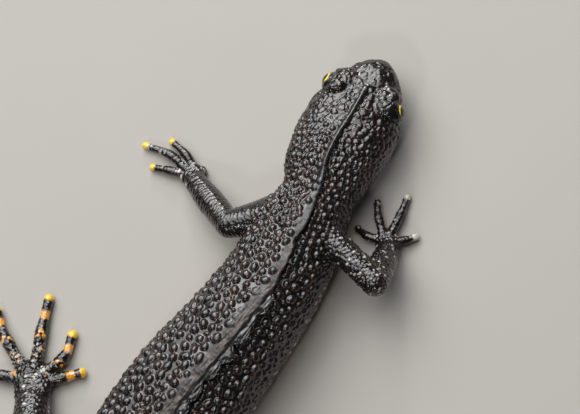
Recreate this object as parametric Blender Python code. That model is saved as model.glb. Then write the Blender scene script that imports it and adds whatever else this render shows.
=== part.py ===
"""Great crested newt (Triturus cristatus), adult male on land, life size and standing still.

The shapes are worked out in millimetres in the animal's own plan: x to its left, y towards its
tail, z up from the floor. The last step turns them into metres and puts the origin under the
middle of the animal, on the floor.
"""

import math

import bmesh
import bpy
import numpy as np
from mathutils import Matrix, Vector

MM = 0.001
GAP = 0.3            # slit between neighbouring pieces, mm

# Seen from above, the backbone runs through these places (x, y), from the snout to the tail tip.
SPINE_LANDMARKS = {
    "snout": (3.0, -24.95),
    "eyes": (2.2, -19.8),
    "cheeks": (1.45, -15.0),
    "nape": (0.8, -10.0),
    "throat fold": (-0.3, -6.1),
    "shoulders": (-1.3, 0.0),
    "chest": (-2.2, 6.0),
    "ribs": (-2.4, 13.0),
    "belly": (-1.7, 27.0),
    "hips": (-1.0, 38.0),
    "vent": (-0.5, 44.5),
    "tail root": (0.6, 52.0),
    "tail first third": (2.6, 63.0),
    "tail middle": (3.0, 74.0),
    "tail last third": (0.6, 86.0),
    "tail tip": (-4.6, 98.0),
}

# Cross sections at a distance s behind the snout:
# s, half width, level of the widest place, back level, belly level.
BODY_SECTIONS = (
    (0.0, 2.5, 3.9, 5.3, 2.6),       # snout
    (2.0, 3.5, 3.8, 6.0, 1.8),       # nostrils
    (4.0, 4.5, 3.7, 6.6, 1.4),       # in front of the eyes
    (6.0, 5.15, 3.7, 7.1, 1.2),      # eyes
    (8.5, 6.3, 3.7, 7.7, 1.0),       # behind the eyes
    (12.0, 6.55, 3.9, 8.4, 0.9),     # corner of the jaw
    (15.0, 6.1, 4.1, 8.6, 0.9),      # cheeks
    (17.5, 5.6, 4.2, 8.5, 1.0),      # nape
    (19.5, 5.0, 4.3, 8.5, 1.2),      # throat fold
    (21.5, 5.3, 4.4, 8.9, 0.8),
    (25.5, 6.1, 4.6, 9.6, 0.3),      # shoulders
    (32.0, 6.8, 4.7, 10.5, -0.1),    # chest
    (40.0, 7.5, 4.7, 11.1, -0.4),    # ribs
    (50.0, 8.4, 4.6, 11.3, -0.6),    # belly
    (58.0, 8.0, 4.6, 10.9, -0.5),
    (64.0, 6.6, 4.6, 10.2, -0.1),    # hips
    (68.0, 4.9, 4.8, 9.5, 1.2),      # vent
    (72.0, 3.8, 4.8, 8.9, 1.3),      # tail root
    (82.0, 3.0, 4.6, 8.2, 1.2),
    (97.0, 2.2, 3.8, 6.7, 1.2),
    (111.0, 1.45, 2.7, 4.7, 1.1),
    (121.0, 0.85, 1.9, 3.0, 1.0),
    (126.0, 0.5, 1.5, 2.1, 0.9),     # tail tip
)
SNOUT_ROUND_WIDTH = 3.2      # length over which the snout rounds off, seen from above
SNOUT_ROUND_HEIGHT = 1.9     # and seen from the side
BODY_SIDES = 22
UPPER_SQUARENESS = 2.25      # 2 is an ellipse, more is squarer
LOWER_SQUARENESS = 2.4
TAIL_SQUARENESS = 2.0
TAIL_BLEND = (64.0, 74.0)    # the sections turn from the trunk's form to the tail's here

# Where the long body is parted, as distances behind the snout.
NAPE_CUT = 17.2
CHEST_CUT = 23.6
WAIST_CUT = 45.0
TAIL_CUTS = (70.0, 89.0, 108.0)
TAIL_END = 126.0

EYE_S, EYE_OUT, EYE_LEVEL, EYE_RADIUS = 5.75, 4.6, 5.5, 1.3
EYE_GAP = 0.12                      # slit between the eye and its socket
LIDS = (2.25, 1.65, 1.7)           # half width, half length and half height of the lids' dome
LIDS_IN = 0.75                      # the dome's middle, in from the eye's own middle
EYE_OPENING = (0.85, 1.15, 0.9)      # the same three sizes of the opening between the lids
EYE_OPENING_OUT = 1.3               # its middle, out from the eye's own middle
EYE_OPENING_UP = 0.25               # and above it

JAW_CORNER = 10.4                   # the mouth ends here, behind the snout
MOUTH_LEVELS = ((-3.0, 3.35), (0.0, 3.35), (3.0, 2.95), (7.0, 2.75), (11.5, 3.3))

CLOACA_S, CLOACA_LEVEL = 67.4, 1.6
CLOACA_SIZE = (2.6, 3.5, 1.9)       # half width, half length, half height

# The crest: s, place of its root to the right of the spine, height of the blade, lean at its root
# and at its edge (degrees to the right).
CREST_SECTIONS = (
    (4.2, 0.1, 0.12, 5, 10),
    (5.8, 0.1, 0.45, 5, 15),
    (8.5, 0.1, 0.6, 5, 15),
    (11.5, 0.0, 0.65, 5, 20),
    (14.7, 0.15, 0.7, 10, 30),
    (17.5, 0.35, 0.8, 20, 55),
    (20.0, 0.35, 0.95, 20, 85),
    (22.0, 0.35, 1.35, 20, 88),
    (24.0, 0.45, 1.5, 20, 88),       # the front lobe is widest
    (25.3, 0.45, 1.25, 30, 85),
    (26.2, 0.5, 0.85, 40, 75),       # and ends
    (27.2, 0.45, 1.6, 45, 72),       # a stretch that stands more upright
    (29.5, 0.6, 1.6, 45, 72),
    (31.0, 0.8, 1.3, 42, 75),
    (32.2, 0.7, 1.5, 35, 95),
    (33.5, 0.3, 2.6, 25, 104),       # from here it lies over on the back
    (37.0, 0.2, 3.1, 25, 105),
    (50.0, 0.1, 3.0, 25, 105),
    (60.0, 0.2, 2.4, 25, 102),
    (65.0, 0.2, 1.0, 20, 60),
    (67.0, 0.1, 0.2, 10, 20),
)
CREST_START, CREST_CUT, CREST_END = 4.2, 23.6, 67.0
CREST_ROOT, CREST_EDGE = 0.5, 0.28  # half thickness at the root and at the edge
CREST_STRIPS = 3                    # its section is bent at this many places
CREST_DEPTH = 1.2                   # how far its root reaches into the back before it is trimmed
CREST_LIFT = 0.2                    # it lies this far off the back, to keep its thickness when trimmed
SCALLOP, SCALLOP_PITCH = 0.35, 3.2  # height and spacing of the teeth along its edge

# Tail fins: s, height above the tail's back or below its belly.
UPPER_FIN = (
    (69.0, 0.2), (74.0, 1.9), (84.0, 2.9), (98.0, 2.7), (112.0, 1.8), (122.0, 0.9), (127.2, 0.15),
)
LOWER_FIN = ((72.0, 0.6), (76.0, 1.3), (100.0, 1.4), (118.0, 1.3), (123.0, 1.0), (127.0, 0.2))
FIN_ROOT, FIN_EDGE = 0.55, 0.27
FIN_LEANS = (4, 12)
FIN_STRIPS = 2
FIN_DEPTH = 0.9
BLADE_BEND = 0.4                    # less than 1: crest and fins bend over mostly near the root

# Limbs: joints (x, y, z), the middle of the palm or sole (x, y), and each digit from the first as
# root, middle and tip (x, y).
LIMBS = {
    "left_fore": {
        "joints": ((2.2, -0.9, 5.3), (6.9, 4.0, 5.0), (14.6, 2.2, 1.75)),
        "palm": (16.1, 1.6),
        "digits": (
            ((15.9, 0.9), (15.4, 0.3), (14.6, 0.6)),        # folded back beside the wrist
            ((16.2, 0.9), (18.2, 0.0), (21.5, -0.4)),
            ((16.7, 1.6), (19.9, 1.2), (24.2, 2.25)),
            ((16.6, 2.1), (18.8, 2.9), (21.6, 4.1)),
        ),
    },
    "right_fore": {
        "joints": ((-3.6, -2.4, 5.8), (-13.7, -1.0, 6.9), (-11.5, -5.0, 1.75)),
        "palm": (-10.5, -6.2),
        "digits": (
            ((-9.6, -5.8), (-7.9, -5.2), (-5.7, -5.3)),
            ((-9.6, -6.5), (-7.6, -8.1), (-5.9, -9.9)),
            ((-10.3, -7.0), (-9.8, -9.9), (-9.0, -12.8)),
            ((-11.1, -6.5), (-12.4, -7.7), (-13.4, -9.2)),
        ),
    },
    "left_hind": {
        "joints": ((0.8, 36.6, 5.2), (10.9, 42.8, 5.4), (15.0, 38.1, 2.1)),
        "palm": (17.4, 35.4),
        "digits": (
            ((15.9, 35.2), (14.1, 33.0), (12.0, 30.5)),
            ((16.6, 34.4), (15.6, 30.8), (16.75, 27.1)),
            ((17.8, 34.3), (20.1, 30.0), (22.35, 25.2)),
            ((18.9, 35.3), (23.8, 33.3), (27.5, 30.9)),
            ((18.8, 36.5), (21.2, 37.7), (24.0, 39.0)),
        ),
    },
    "right_hind": {
        "joints": ((-3.2, 36.6, 5.2), (-13.2, 36.2, 5.6), (-15.7, 41.3, 2.1)),
        "palm": (-19.1, 40.0),
        "digits": None,             # the left foot's, mirrored
    },
}
RIGHT_FOOT_TURN = -28               # degrees that the mirrored foot is turned outwards
ARM_RADII = {"left": (2.8, 2.2, 1.85), "right": (2.0, 1.8, 1.85)}
FOREARM_RADII = (1.8, 1.85, 1.55)
THIGH_RADII = (2.7, 2.5, 2.15)
SHANK_RADII = (2.15, 2.45, 2.45)
SHANK_FLATNESS = 0.85
SEGMENT_NAMES = {"fore": ("upper_arm", "forearm", "hand"), "hind": ("thigh", "shank", "foot")}
PALM = {"fore": (1.7, 0.95, 1.0), "hind": (2.7, 1.15, 1.15)}  # half width, half height, level
DIGIT_RADII = {"fore": (0.74, 0.62, 0.56), "hind": (1.05, 0.84, 0.76)}
DIGIT_LEVELS = {"fore": (0.95, 0.9, 0.5), "hind": (1.05, 1.0, 0.65)}  # root, middle and tip

SKIN_COLOUR = (0.020, 0.017, 0.015, 1.0)
CREST_COLOUR = (0.045, 0.038, 0.034, 1.0)
EYE_COLOUR = (0.75, 0.48, 0.05, 1.0)
VENT_COLOUR = (0.035, 0.028, 0.024, 1.0)


def clear_scene():
    for obj in list(bpy.data.objects):
        bpy.data.objects.remove(obj)


def material(name, colour, roughness):
    made = bpy.data.materials.new(name)
    made.use_nodes = True
    shader = made.node_tree.nodes["Principled BSDF"]
    shader.inputs["Base Color"].default_value = colour
    shader.inputs["Roughness"].default_value = roughness
    shader.inputs["Metallic"].default_value = 0.0
    return made


def between(stations, column, s):
    """A monotone cubic through one column of a table whose first column is s."""
    xs = np.array([row[0] for row in stations], float)
    ys = np.array([row[column] for row in stations], float)
    steps = np.diff(xs)
    slopes = np.diff(ys) / steps
    tangents = np.zeros(len(xs))
    tangents[0], tangents[-1] = slopes[0], slopes[-1]
    for i in range(1, len(xs) - 1):
        if slopes[i - 1] * slopes[i] > 0:
            before, after = 2 * steps[i] + steps[i - 1], steps[i] + 2 * steps[i - 1]
            tangents[i] = (before + after) / (before / slopes[i - 1] + after / slopes[i])
    s = min(max(s, xs[0]), xs[-1])
    i = min(int(np.searchsorted(xs, s, "right")) - 1, len(steps) - 1)
    t = (s - xs[i]) / steps[i]
    return float(
        ys[i] * (1 + 2 * t) * (1 - t) ** 2 + steps[i] * tangents[i] * t * (1 - t) ** 2
        + ys[i + 1] * t * t * (3 - 2 * t) + steps[i] * tangents[i + 1] * t * t * (t - 1)
    )


class Path:
    """A smooth curve through points, read by distance along it, straight beyond its ends."""

    STEPS = 24

    def __init__(self, points):
        points = np.array(points, float)
        if points.shape[1] == 2:
            points = np.column_stack([points, np.zeros(len(points))])
        ends = np.vstack([2 * points[0] - points[1], points, 2 * points[-1] - points[-2]])
        t = np.linspace(0, 1, self.STEPS, endpoint=False)[:, None]
        spans = []
        for a, b, c, d in zip(ends, ends[1:], ends[2:], ends[3:]):
            bend = (2 * a - 5 * b + 4 * c - d) * t**2 + (3 * b - a - 3 * c + d) * t**3
            spans.append(b + ((c - a) * t + bend) / 2)
        self.points = np.vstack([*spans, points[-1:]])
        lengths = np.linalg.norm(np.diff(self.points, axis=0), axis=1)
        self.along = np.concatenate([[0], np.cumsum(lengths)])
        self.length = float(self.along[-1])

    def at(self, s):
        """(place, direction) at distance s."""
        i = int(np.clip(np.searchsorted(self.along, s) - 1, 0, len(self.along) - 2))
        step = self.points[i + 1] - self.points[i]
        direction = step / np.linalg.norm(step)
        return Vector(self.points[i] + direction * (s - self.along[i])), Vector(direction)


SPINE = Path(list(SPINE_LANDMARKS.values()))


def spine_frame(s):
    """(place on the floor under the spine, the animal's left) at distance s behind the snout."""
    place, backwards = SPINE.at(s)
    return place, backwards.cross(Vector((0, 0, 1)))


def side_place(s, out, level):
    """A place at distance out to the left of the spine (negative: to the right)."""
    place, left = spine_frame(s)
    return place + left * out + Vector((0, 0, level))


def rounding(s, length):
    return math.sqrt(1 - (1 - s / length) ** 2) if s < length else 1.0


def body_outline(s):
    """Half width and the levels of the widest place, back and belly, with the snout rounded."""
    half, widest, back, belly = (between(BODY_SECTIONS, column, s) for column in (1, 2, 3, 4))
    half *= rounding(s, SNOUT_ROUND_WIDTH)
    height = rounding(s, SNOUT_ROUND_HEIGHT)
    return half, widest, widest + (back - widest) * height, widest + (belly - widest) * height


def body_ring(s, margin=0.0, sides=BODY_SIDES):
    half, widest, back, belly = body_outline(s)
    tail = min(max((s - TAIL_BLEND[0]) / (TAIL_BLEND[1] - TAIL_BLEND[0]), 0), 1)
    upper = UPPER_SQUARENESS + (TAIL_SQUARENESS - UPPER_SQUARENESS) * tail
    lower = LOWER_SQUARENESS + (TAIL_SQUARENESS - LOWER_SQUARENESS) * tail
    ring = []
    for k in range(sides):
        angle = 2 * math.pi * k / sides
        c, n = math.cos(angle), math.sin(angle)
        power = 2 / (upper if n > 0 else lower)
        out = math.copysign(abs(c) ** power, c) * (half + margin)
        reach = back - widest if n > 0 else widest - belly
        level = widest + math.copysign(abs(n) ** power, n) * (reach + margin)
        ring.append(side_place(s, out, level))
    return ring


def loft(name, rings, start=None, end=None):
    """A closed skin over rings of equal length, with a flat end or a point at either end."""
    mesh = bmesh.new()
    rows = [[mesh.verts.new(p) for p in ring] for ring in rings]
    for row, following in zip(rows, rows[1:]):
        for k in range(len(row)):
            j = (k + 1) % len(row)
            mesh.faces.new((row[k], row[j], following[j], following[k]))
    for row, tip in ((rows[0], start), (rows[-1], end)):
        if tip is None:
            mesh.faces.new(row)
            continue
        point = mesh.verts.new(tip)
        for k in range(len(row)):
            mesh.faces.new((row[k], row[(k + 1) % len(row)], point))
    bmesh.ops.recalc_face_normals(mesh, faces=mesh.faces)
    return new_object(name, mesh)


def new_object(name, mesh):
    data = bpy.data.meshes.new(name)
    mesh.to_mesh(data)
    mesh.free()
    obj = bpy.data.objects.new(name, data)
    bpy.context.scene.collection.objects.link(obj)
    return obj


def body_length(name, start, end, step, margin=0.0):
    """A length of the long body between two distances behind the snout."""
    count = max(2, round((end - start) / step) + 1)
    places = [start + (end - start) * k / (count - 1) for k in range(count)]
    tip = None
    if start <= 0:
        nose = (0.12, 0.5, 1.1, 1.9)
        tip = side_place(-margin, 0, body_outline(0.01)[1])
        places = list(nose) + [s for s in places if s > nose[-1] + step / 2]
    return loft(name, [body_ring(s, margin) for s in places], start=tip)


def ellipsoid(name, centre, radii, turn=0.0, segments=16, rings=10):
    """Radii across, along and up; turn is about the vertical, in radians."""
    mesh = bmesh.new()
    bmesh.ops.create_uvsphere(mesh, u_segments=segments, v_segments=rings, radius=1.0)
    shape = Matrix.Translation(centre) @ Matrix.Rotation(turn, 4, "Z") @ Matrix.Diagonal((*radii, 1))
    bmesh.ops.transform(mesh, matrix=shape, verts=mesh.verts)
    return new_object(name, mesh)


def tube(name, points, radii, flatness=1.0, margin=0.0, sides=12, rings=5):
    """A round-ended limb through points. Radii are spaced evenly along it; flatness is its height
    over its width."""
    path = Path(points)
    table = [(path.length * k / (len(radii) - 1), r + margin) for k, r in enumerate(radii)]
    first, last = table[0][1], table[-1][1]
    bends = [math.radians(a) for a in (22, 52)]
    places = [(-first * math.cos(a), math.sin(a)) for a in bends]
    places += [(path.length * k / (rings - 1), 1.0) for k in range(rings)]
    places += [(path.length + last * math.cos(a), math.sin(a)) for a in reversed(bends)]
    made = []
    for s, share in places:
        centre, along = path.at(s)
        side = along.cross(Vector((0, 0, 1))).normalized()
        up = side.cross(along)
        radius = between(table, 1, s) * share
        made.append([
            centre + side * (radius * math.cos(a)) + up * (radius * flatness * math.sin(a))
            for a in (2 * math.pi * k / sides for k in range(sides))
        ])
    return loft(name, made, start=path.at(-first)[0], end=path.at(path.length + last)[0])


def combine(obj, other, operation):
    """Applies a Boolean and removes the other object."""
    modifier = obj.modifiers.new("combine", "BOOLEAN")
    modifier.object = other
    modifier.operation = operation
    modifier.solver = "EXACT"
    graph = bpy.context.evaluated_depsgraph_get()
    result = bpy.data.meshes.new_from_object(obj.evaluated_get(graph))
    obj.modifiers.clear()
    obj.data = result
    bpy.data.objects.remove(other)
    return obj


def stand_on_floor(obj):
    """Cuts off what is below the floor and closes the cut with one flat sole."""
    mesh = bmesh.new()
    mesh.from_mesh(obj.data)
    whole = [*mesh.verts, *mesh.edges, *mesh.faces]
    cut = bmesh.ops.bisect_plane(mesh, geom=whole, plane_co=(0, 0, 0), plane_no=(0, 0, 1), clear_inner=True)
    rim = [e for e in cut["geom_cut"] if isinstance(e, bmesh.types.BMEdge)]
    for edge in rim:
        for vert in edge.verts:
            vert.co.z = 0
    bmesh.ops.contextual_create(mesh, geom=rim)
    bmesh.ops.recalc_face_normals(mesh, faces=mesh.faces)
    mesh.to_mesh(obj.data)
    mesh.free()
    return obj


def body_cutter():
    """The whole long body with the gap added, for trimming what grows from it."""
    return body_length("body_cutter", 0.0, TAIL_END + 1.0, 2.2, margin=GAP)


def mouth_block(name, clearance):
    """What lies below the mouth and in front of its corner, less or more the clearance."""
    rings = []
    for s in (-2.0, 0.0, 1.5, 3.0, 5.0, 7.0, 9.0, JAW_CORNER + clearance):
        top = between(MOUTH_LEVELS, 1, s) + clearance
        corners = ((-9, -2), (9, -2), (9, top), (0, top), (-9, top))
        rings.append([side_place(s, out, level) for out, level in corners])
    return loft(name, rings)


def eye_place(side):
    return side_place(EYE_S, side * EYE_OUT, EYE_LEVEL)


def spine_turn(s):
    """Angle of the animal's left from the x axis."""
    left = spine_frame(s)[1]
    return math.atan2(left.y, left.x)


def add_orbits(head):
    """Lids as a shell over each eye, with a socket and the opening between the lids."""
    turn = spine_turn(EYE_S)
    left = spine_frame(EYE_S)[1]
    for side in (1, -1):
        dome = ellipsoid("lids", eye_place(side) - left * side * LIDS_IN, LIDS, turn, 14, 9)
        combine(head, dome, "UNION")
    for side in (1, -1):
        opening_at = eye_place(side) + left * side * EYE_OPENING_OUT + Vector((0, 0, EYE_OPENING_UP))
        opening = ellipsoid("opening", opening_at, EYE_OPENING, turn, 12, 8)
        socket = ellipsoid("socket", eye_place(side), (EYE_RADIUS + EYE_GAP,) * 3, turn, 14, 9)
        combine(head, combine(socket, opening, "UNION"), "DIFFERENCE")
    return head


def head_and_jaw():
    head = add_orbits(body_length("head", 0.0, NAPE_CUT - GAP / 2, 1.5))
    combine(head, mouth_block("mouth_slit", GAP / 2), "DIFFERENCE")
    jaw = body_length("lower_jaw", 0.0, NAPE_CUT - GAP / 2, 1.5)
    combine(jaw, mouth_block("below_mouth", -GAP / 2), "INTERSECT")
    return [head, jaw]


def eyes():
    return [
        ellipsoid(f"eye_{word}", eye_place(side), (EYE_RADIUS,) * 3, segments=12, rings=8)
        for word, side in (("left", 1), ("right", -1))
    ]


def long_body():
    cuts = {
        "neck": (NAPE_CUT, CHEST_CUT, 2.0),
        "chest": (CHEST_CUT, WAIST_CUT, 3.0),
        "belly": (WAIST_CUT, TAIL_CUTS[0], 3.0),
        "tail_root": (TAIL_CUTS[0], TAIL_CUTS[1], 4.0),
        "tail_middle": (TAIL_CUTS[1], TAIL_CUTS[2], 4.0),
        "tail_end": (TAIL_CUTS[2], TAIL_END + GAP / 2, 4.0),
    }
    made = [
        body_length(name, start + GAP / 2, end - GAP / 2, step)
        for name, (start, end, step) in cuts.items()
    ]
    return [stand_on_floor(obj) if obj.name in ("chest", "belly") else obj for obj in made]


def cloaca():
    centre = side_place(CLOACA_S, 0, CLOACA_LEVEL)
    bulge = ellipsoid("cloaca", centre, CLOACA_SIZE, spine_turn(CLOACA_S))
    return stand_on_floor(combine(bulge, body_cutter(), "DIFFERENCE"))


def blade_lean(leans, share):
    """Its lean to the right, in radians, at a share of the way from its root to its edge."""
    root_lean, edge_lean = leans
    return math.radians(root_lean + (edge_lean - root_lean) * share**BLADE_BEND)


def blade_ring(s, aside, height, leans, halves, depth, strips, lift=0.0):
    """Section of a thin blade that rises from the back, a distance aside to the right of the
    spine, and bends over to that side. Leans and half thicknesses are at its root and edge."""
    root, edge = halves
    place, left = spine_frame(s)
    back = body_outline(min(s, TAIL_END))[2]
    base = place - left * aside + Vector((0, 0, back + lift))
    sheet = []
    out, up = 0.0, 0.0
    for k in range(strips + 1):
        if k:
            lean = blade_lean(leans, (k - 0.5) / strips)
            out += math.sin(lean) * height / strips
            up += math.cos(lean) * height / strips
        share = k / strips
        lean = blade_lean(leans, share)
        half = root + (edge - root) * min(1, 1.5 * share)
        across = (math.cos(lean) * half, -math.sin(lean) * half)
        sheet.append(((out - across[0], up - across[1]), (out + across[0], up + across[1])))
    outer = [(-root, -depth)] + [pair[0] for pair in sheet]
    under = [pair[1] for pair in reversed(sheet)] + [(root, -depth)]
    return [base - left * x + Vector((0, 0, z)) for x, z in outer + under]


def crest_height(s):
    tall = between(CREST_SECTIONS, 2, s)
    tooth = 0.5 - 0.5 * math.cos(2 * math.pi * s / SCALLOP_PITCH)
    return tall - SCALLOP * (1 - tooth) * min(1, tall / 3)


def crest():
    """The low ridge of the head and neck, and the flap that lies over the back."""
    made = []
    for name, start, end in (
        ("crest_head", CREST_START, CREST_CUT - GAP / 2),
        ("crest_back", CREST_CUT + GAP / 2, CREST_END),
    ):
        count = round((end - start) / 1.4) + 1
        rings = []
        for s in np.linspace(start, end, count):
            aside, root_lean, edge_lean = (between(CREST_SECTIONS, column, s) for column in (1, 3, 4))
            height = crest_height(s)
            root = CREST_EDGE + (CREST_ROOT - CREST_EDGE) * min(1.0, height / 1.5)
            leans, halves = (root_lean, edge_lean), (root, CREST_EDGE)
            lift = CREST_LIFT * min(1.0, height / 1.5)
            rings.append(blade_ring(s, aside, height, leans, halves, CREST_DEPTH, CREST_STRIPS, lift))
        made.append(combine(loft(name, rings), body_cutter(), "DIFFERENCE"))
    return made


def upper_fin():
    rings = [
        blade_ring(s, 0.0, between(UPPER_FIN, 1, s), FIN_LEANS, (FIN_ROOT, FIN_EDGE), FIN_DEPTH, FIN_STRIPS)
        for s in np.linspace(UPPER_FIN[0][0], UPPER_FIN[-1][0], 19)
    ]
    return combine(loft("tail_fin_upper", rings), body_cutter(), "DIFFERENCE")


def lower_fin():
    rings = []
    for s in np.linspace(LOWER_FIN[0][0], LOWER_FIN[-1][0], 14):
        belly = body_outline(min(s, TAIL_END))[3]
        edge = belly - between(LOWER_FIN, 1, s)
        root = belly + FIN_DEPTH
        corners = ((-FIN_ROOT, root), (-FIN_EDGE, edge), (FIN_EDGE, edge), (FIN_ROOT, root))
        rings.append([side_place(s, out, level) for out, level in corners])
    fin = combine(loft("tail_fin_lower", rings), body_cutter(), "DIFFERENCE")
    return stand_on_floor(fin)


def digit(points, kind, name):
    root, middle, tip = (Vector((*point, 0)) for point in points)
    radii = DIGIT_RADII[kind]
    tip += (middle - tip).normalized() * radii[-1]
    for point, level in zip((root, middle, tip), DIGIT_LEVELS[kind]):
        point.z = level
    return tube(name, [root, middle, tip], radii, sides=8, rings=4)


def paw(name, limb, kind, wrist, wrist_radius):
    """The palm with its digits, joined, flat underneath."""
    wide, tall, level = PALM[kind]
    middle = Vector((*limb["palm"], level))
    radii = (wrist_radius, (wrist_radius + wide) / 2, wide)
    points = [wrist, (wrist + middle) / 2, middle]
    made = tube(name, points, radii, flatness=tall / wide, sides=14, rings=4)
    for number, digit_points in enumerate(limb["digits"] or right_foot_digits(), 1):
        combine(made, digit(digit_points, kind, f"digit_{number}"), "UNION")
    return made


def right_foot_digits():
    left, right = LIMBS["left_hind"], LIMBS["right_hind"]
    turn = Matrix.Rotation(math.radians(RIGHT_FOOT_TURN), 2)
    made = []
    for points in left["digits"]:
        away = (Vector(point) - Vector(left["palm"]) for point in points)
        made.append([Vector(right["palm"]) + turn @ Vector((-v.x, v.y)) for v in away])
    return made


def limb_pieces(limb_name, limb):
    """Upper length, lower length and paw, parted at the two joints."""
    side, kind = limb_name.split("_")
    names = [f"{piece}_{side}" for piece in SEGMENT_NAMES[kind]]
    root, knee, wrist = (Vector(joint) for joint in limb["joints"])
    upper_radii = ARM_RADII[side] if kind == "fore" else THIGH_RADII
    lower_radii = FOREARM_RADII if kind == "fore" else SHANK_RADII
    flatness = 1.0 if kind == "fore" else SHANK_FLATNESS
    upper = combine(tube(names[0], [root, knee], upper_radii), body_cutter(), "DIFFERENCE")
    lower = tube(names[1], [knee, wrist], lower_radii, flatness)
    combine(lower, tube("upper_cutter", [root, knee], upper_radii, margin=GAP), "DIFFERENCE")
    combine(lower, body_cutter(), "DIFFERENCE")
    end = paw(names[2], limb, kind, wrist, lower_radii[-1])
    combine(end, tube("lower_cutter", [knee, wrist], lower_radii, flatness, GAP), "DIFFERENCE")
    return [stand_on_floor(piece) for piece in (upper, lower, end)]


def colour_pieces(pieces):
    skin = material("wet_black_skin", SKIN_COLOUR, 0.3)
    crest_skin = material("smooth_crest_skin", CREST_COLOUR, 0.25)
    vent_skin = material("vent_skin", VENT_COLOUR, 0.4)
    gold = material("golden_eye", EYE_COLOUR, 0.1)
    chosen = {"eye": gold, "crest": crest_skin, "fin": crest_skin, "cloaca": vent_skin}
    for obj in pieces:
        obj.data.materials.clear()
        words = [word for word in chosen if word in obj.name]
        obj.data.materials.append(chosen[words[0]] if words else skin)


def place_pieces(pieces):
    """Turns millimetres into metres, gives each piece an origin at its own middle, and hangs
    them all on one empty, which stands on the floor under the middle of the animal."""
    animal = bpy.data.objects.new("newt", None)
    bpy.context.scene.collection.objects.link(animal)
    corners = np.array([v.co for obj in pieces for v in obj.data.vertices])
    middle = (corners.min(0) + corners.max(0)) / 2
    to_metres = Matrix.Scale(MM, 4) @ Matrix.Translation((-middle[0], -middle[1], 0))
    for obj in pieces:
        obj.data.transform(to_metres)
        own = np.array([v.co for v in obj.data.vertices])
        centre = Vector((own.min(0) + own.max(0)) / 2)
        obj.data.transform(Matrix.Translation(-centre))
        obj.location = centre
        obj.parent = animal
        obj.data.shade_smooth()
        obj.data.set_sharp_from_angle(angle=math.radians(40))


def main():
    clear_scene()
    pieces = [*head_and_jaw(), *eyes(), *long_body(), cloaca(), *crest(), upper_fin(), lower_fin()]
    for limb_name, limb in LIMBS.items():
        pieces += limb_pieces(limb_name, limb)
    colour_pieces(pieces)
    place_pieces(pieces)


main()
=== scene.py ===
"""The looks of the great crested newt: one wet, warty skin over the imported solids, and two eyes.

The shapes are worked out in millimetres in the animal's own plan, as in the part's source: x to its
left, y towards its tail, z up from the floor. The last step turns them into the frame's metres.
"""

import math

import bpy
import numpy as np
from mathutils import Matrix, Vector, noise
from mathutils.kdtree import KDTree


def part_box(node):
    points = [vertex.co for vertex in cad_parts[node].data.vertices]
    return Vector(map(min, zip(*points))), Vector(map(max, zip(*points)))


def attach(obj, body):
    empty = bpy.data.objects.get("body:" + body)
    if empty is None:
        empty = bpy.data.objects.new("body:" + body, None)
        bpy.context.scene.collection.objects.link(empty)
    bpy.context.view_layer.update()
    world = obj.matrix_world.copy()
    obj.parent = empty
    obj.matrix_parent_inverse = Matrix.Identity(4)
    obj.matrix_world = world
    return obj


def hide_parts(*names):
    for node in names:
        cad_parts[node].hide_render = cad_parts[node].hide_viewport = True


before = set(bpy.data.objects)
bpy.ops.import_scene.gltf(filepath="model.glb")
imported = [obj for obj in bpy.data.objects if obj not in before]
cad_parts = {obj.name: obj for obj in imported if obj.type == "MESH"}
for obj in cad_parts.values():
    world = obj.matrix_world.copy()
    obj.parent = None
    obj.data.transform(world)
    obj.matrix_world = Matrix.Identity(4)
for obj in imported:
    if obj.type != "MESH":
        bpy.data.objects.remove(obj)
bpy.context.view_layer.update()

MM = 0.001
UP = np.array((0.0, 0.0, 1.0))
SEED = 5
FAR = 99.0  # mm, farther than anything on the animal

# ---- The animal's plan, as in the part's source ----

# Seen from above, the backbone runs through these places (x, y), from the snout to the tail tip.
SPINE_LANDMARKS = {
    "snout": (3.0, -24.95),
    "eyes": (2.2, -19.8),
    "cheeks": (1.45, -15.0),
    "nape": (0.8, -10.0),
    "throat fold": (-0.3, -6.1),
    "shoulders": (-1.3, 0.0),
    "chest": (-2.2, 6.0),
    "ribs": (-2.4, 13.0),
    "belly": (-1.7, 27.0),
    "hips": (-1.0, 38.0),
    "vent": (-0.5, 44.5),
    "tail root": (0.6, 52.0),
    "tail first third": (2.6, 63.0),
    "tail middle": (3.0, 74.0),
    "tail last third": (0.6, 86.0),
    "tail tip": (-4.6, 98.0),
}

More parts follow.
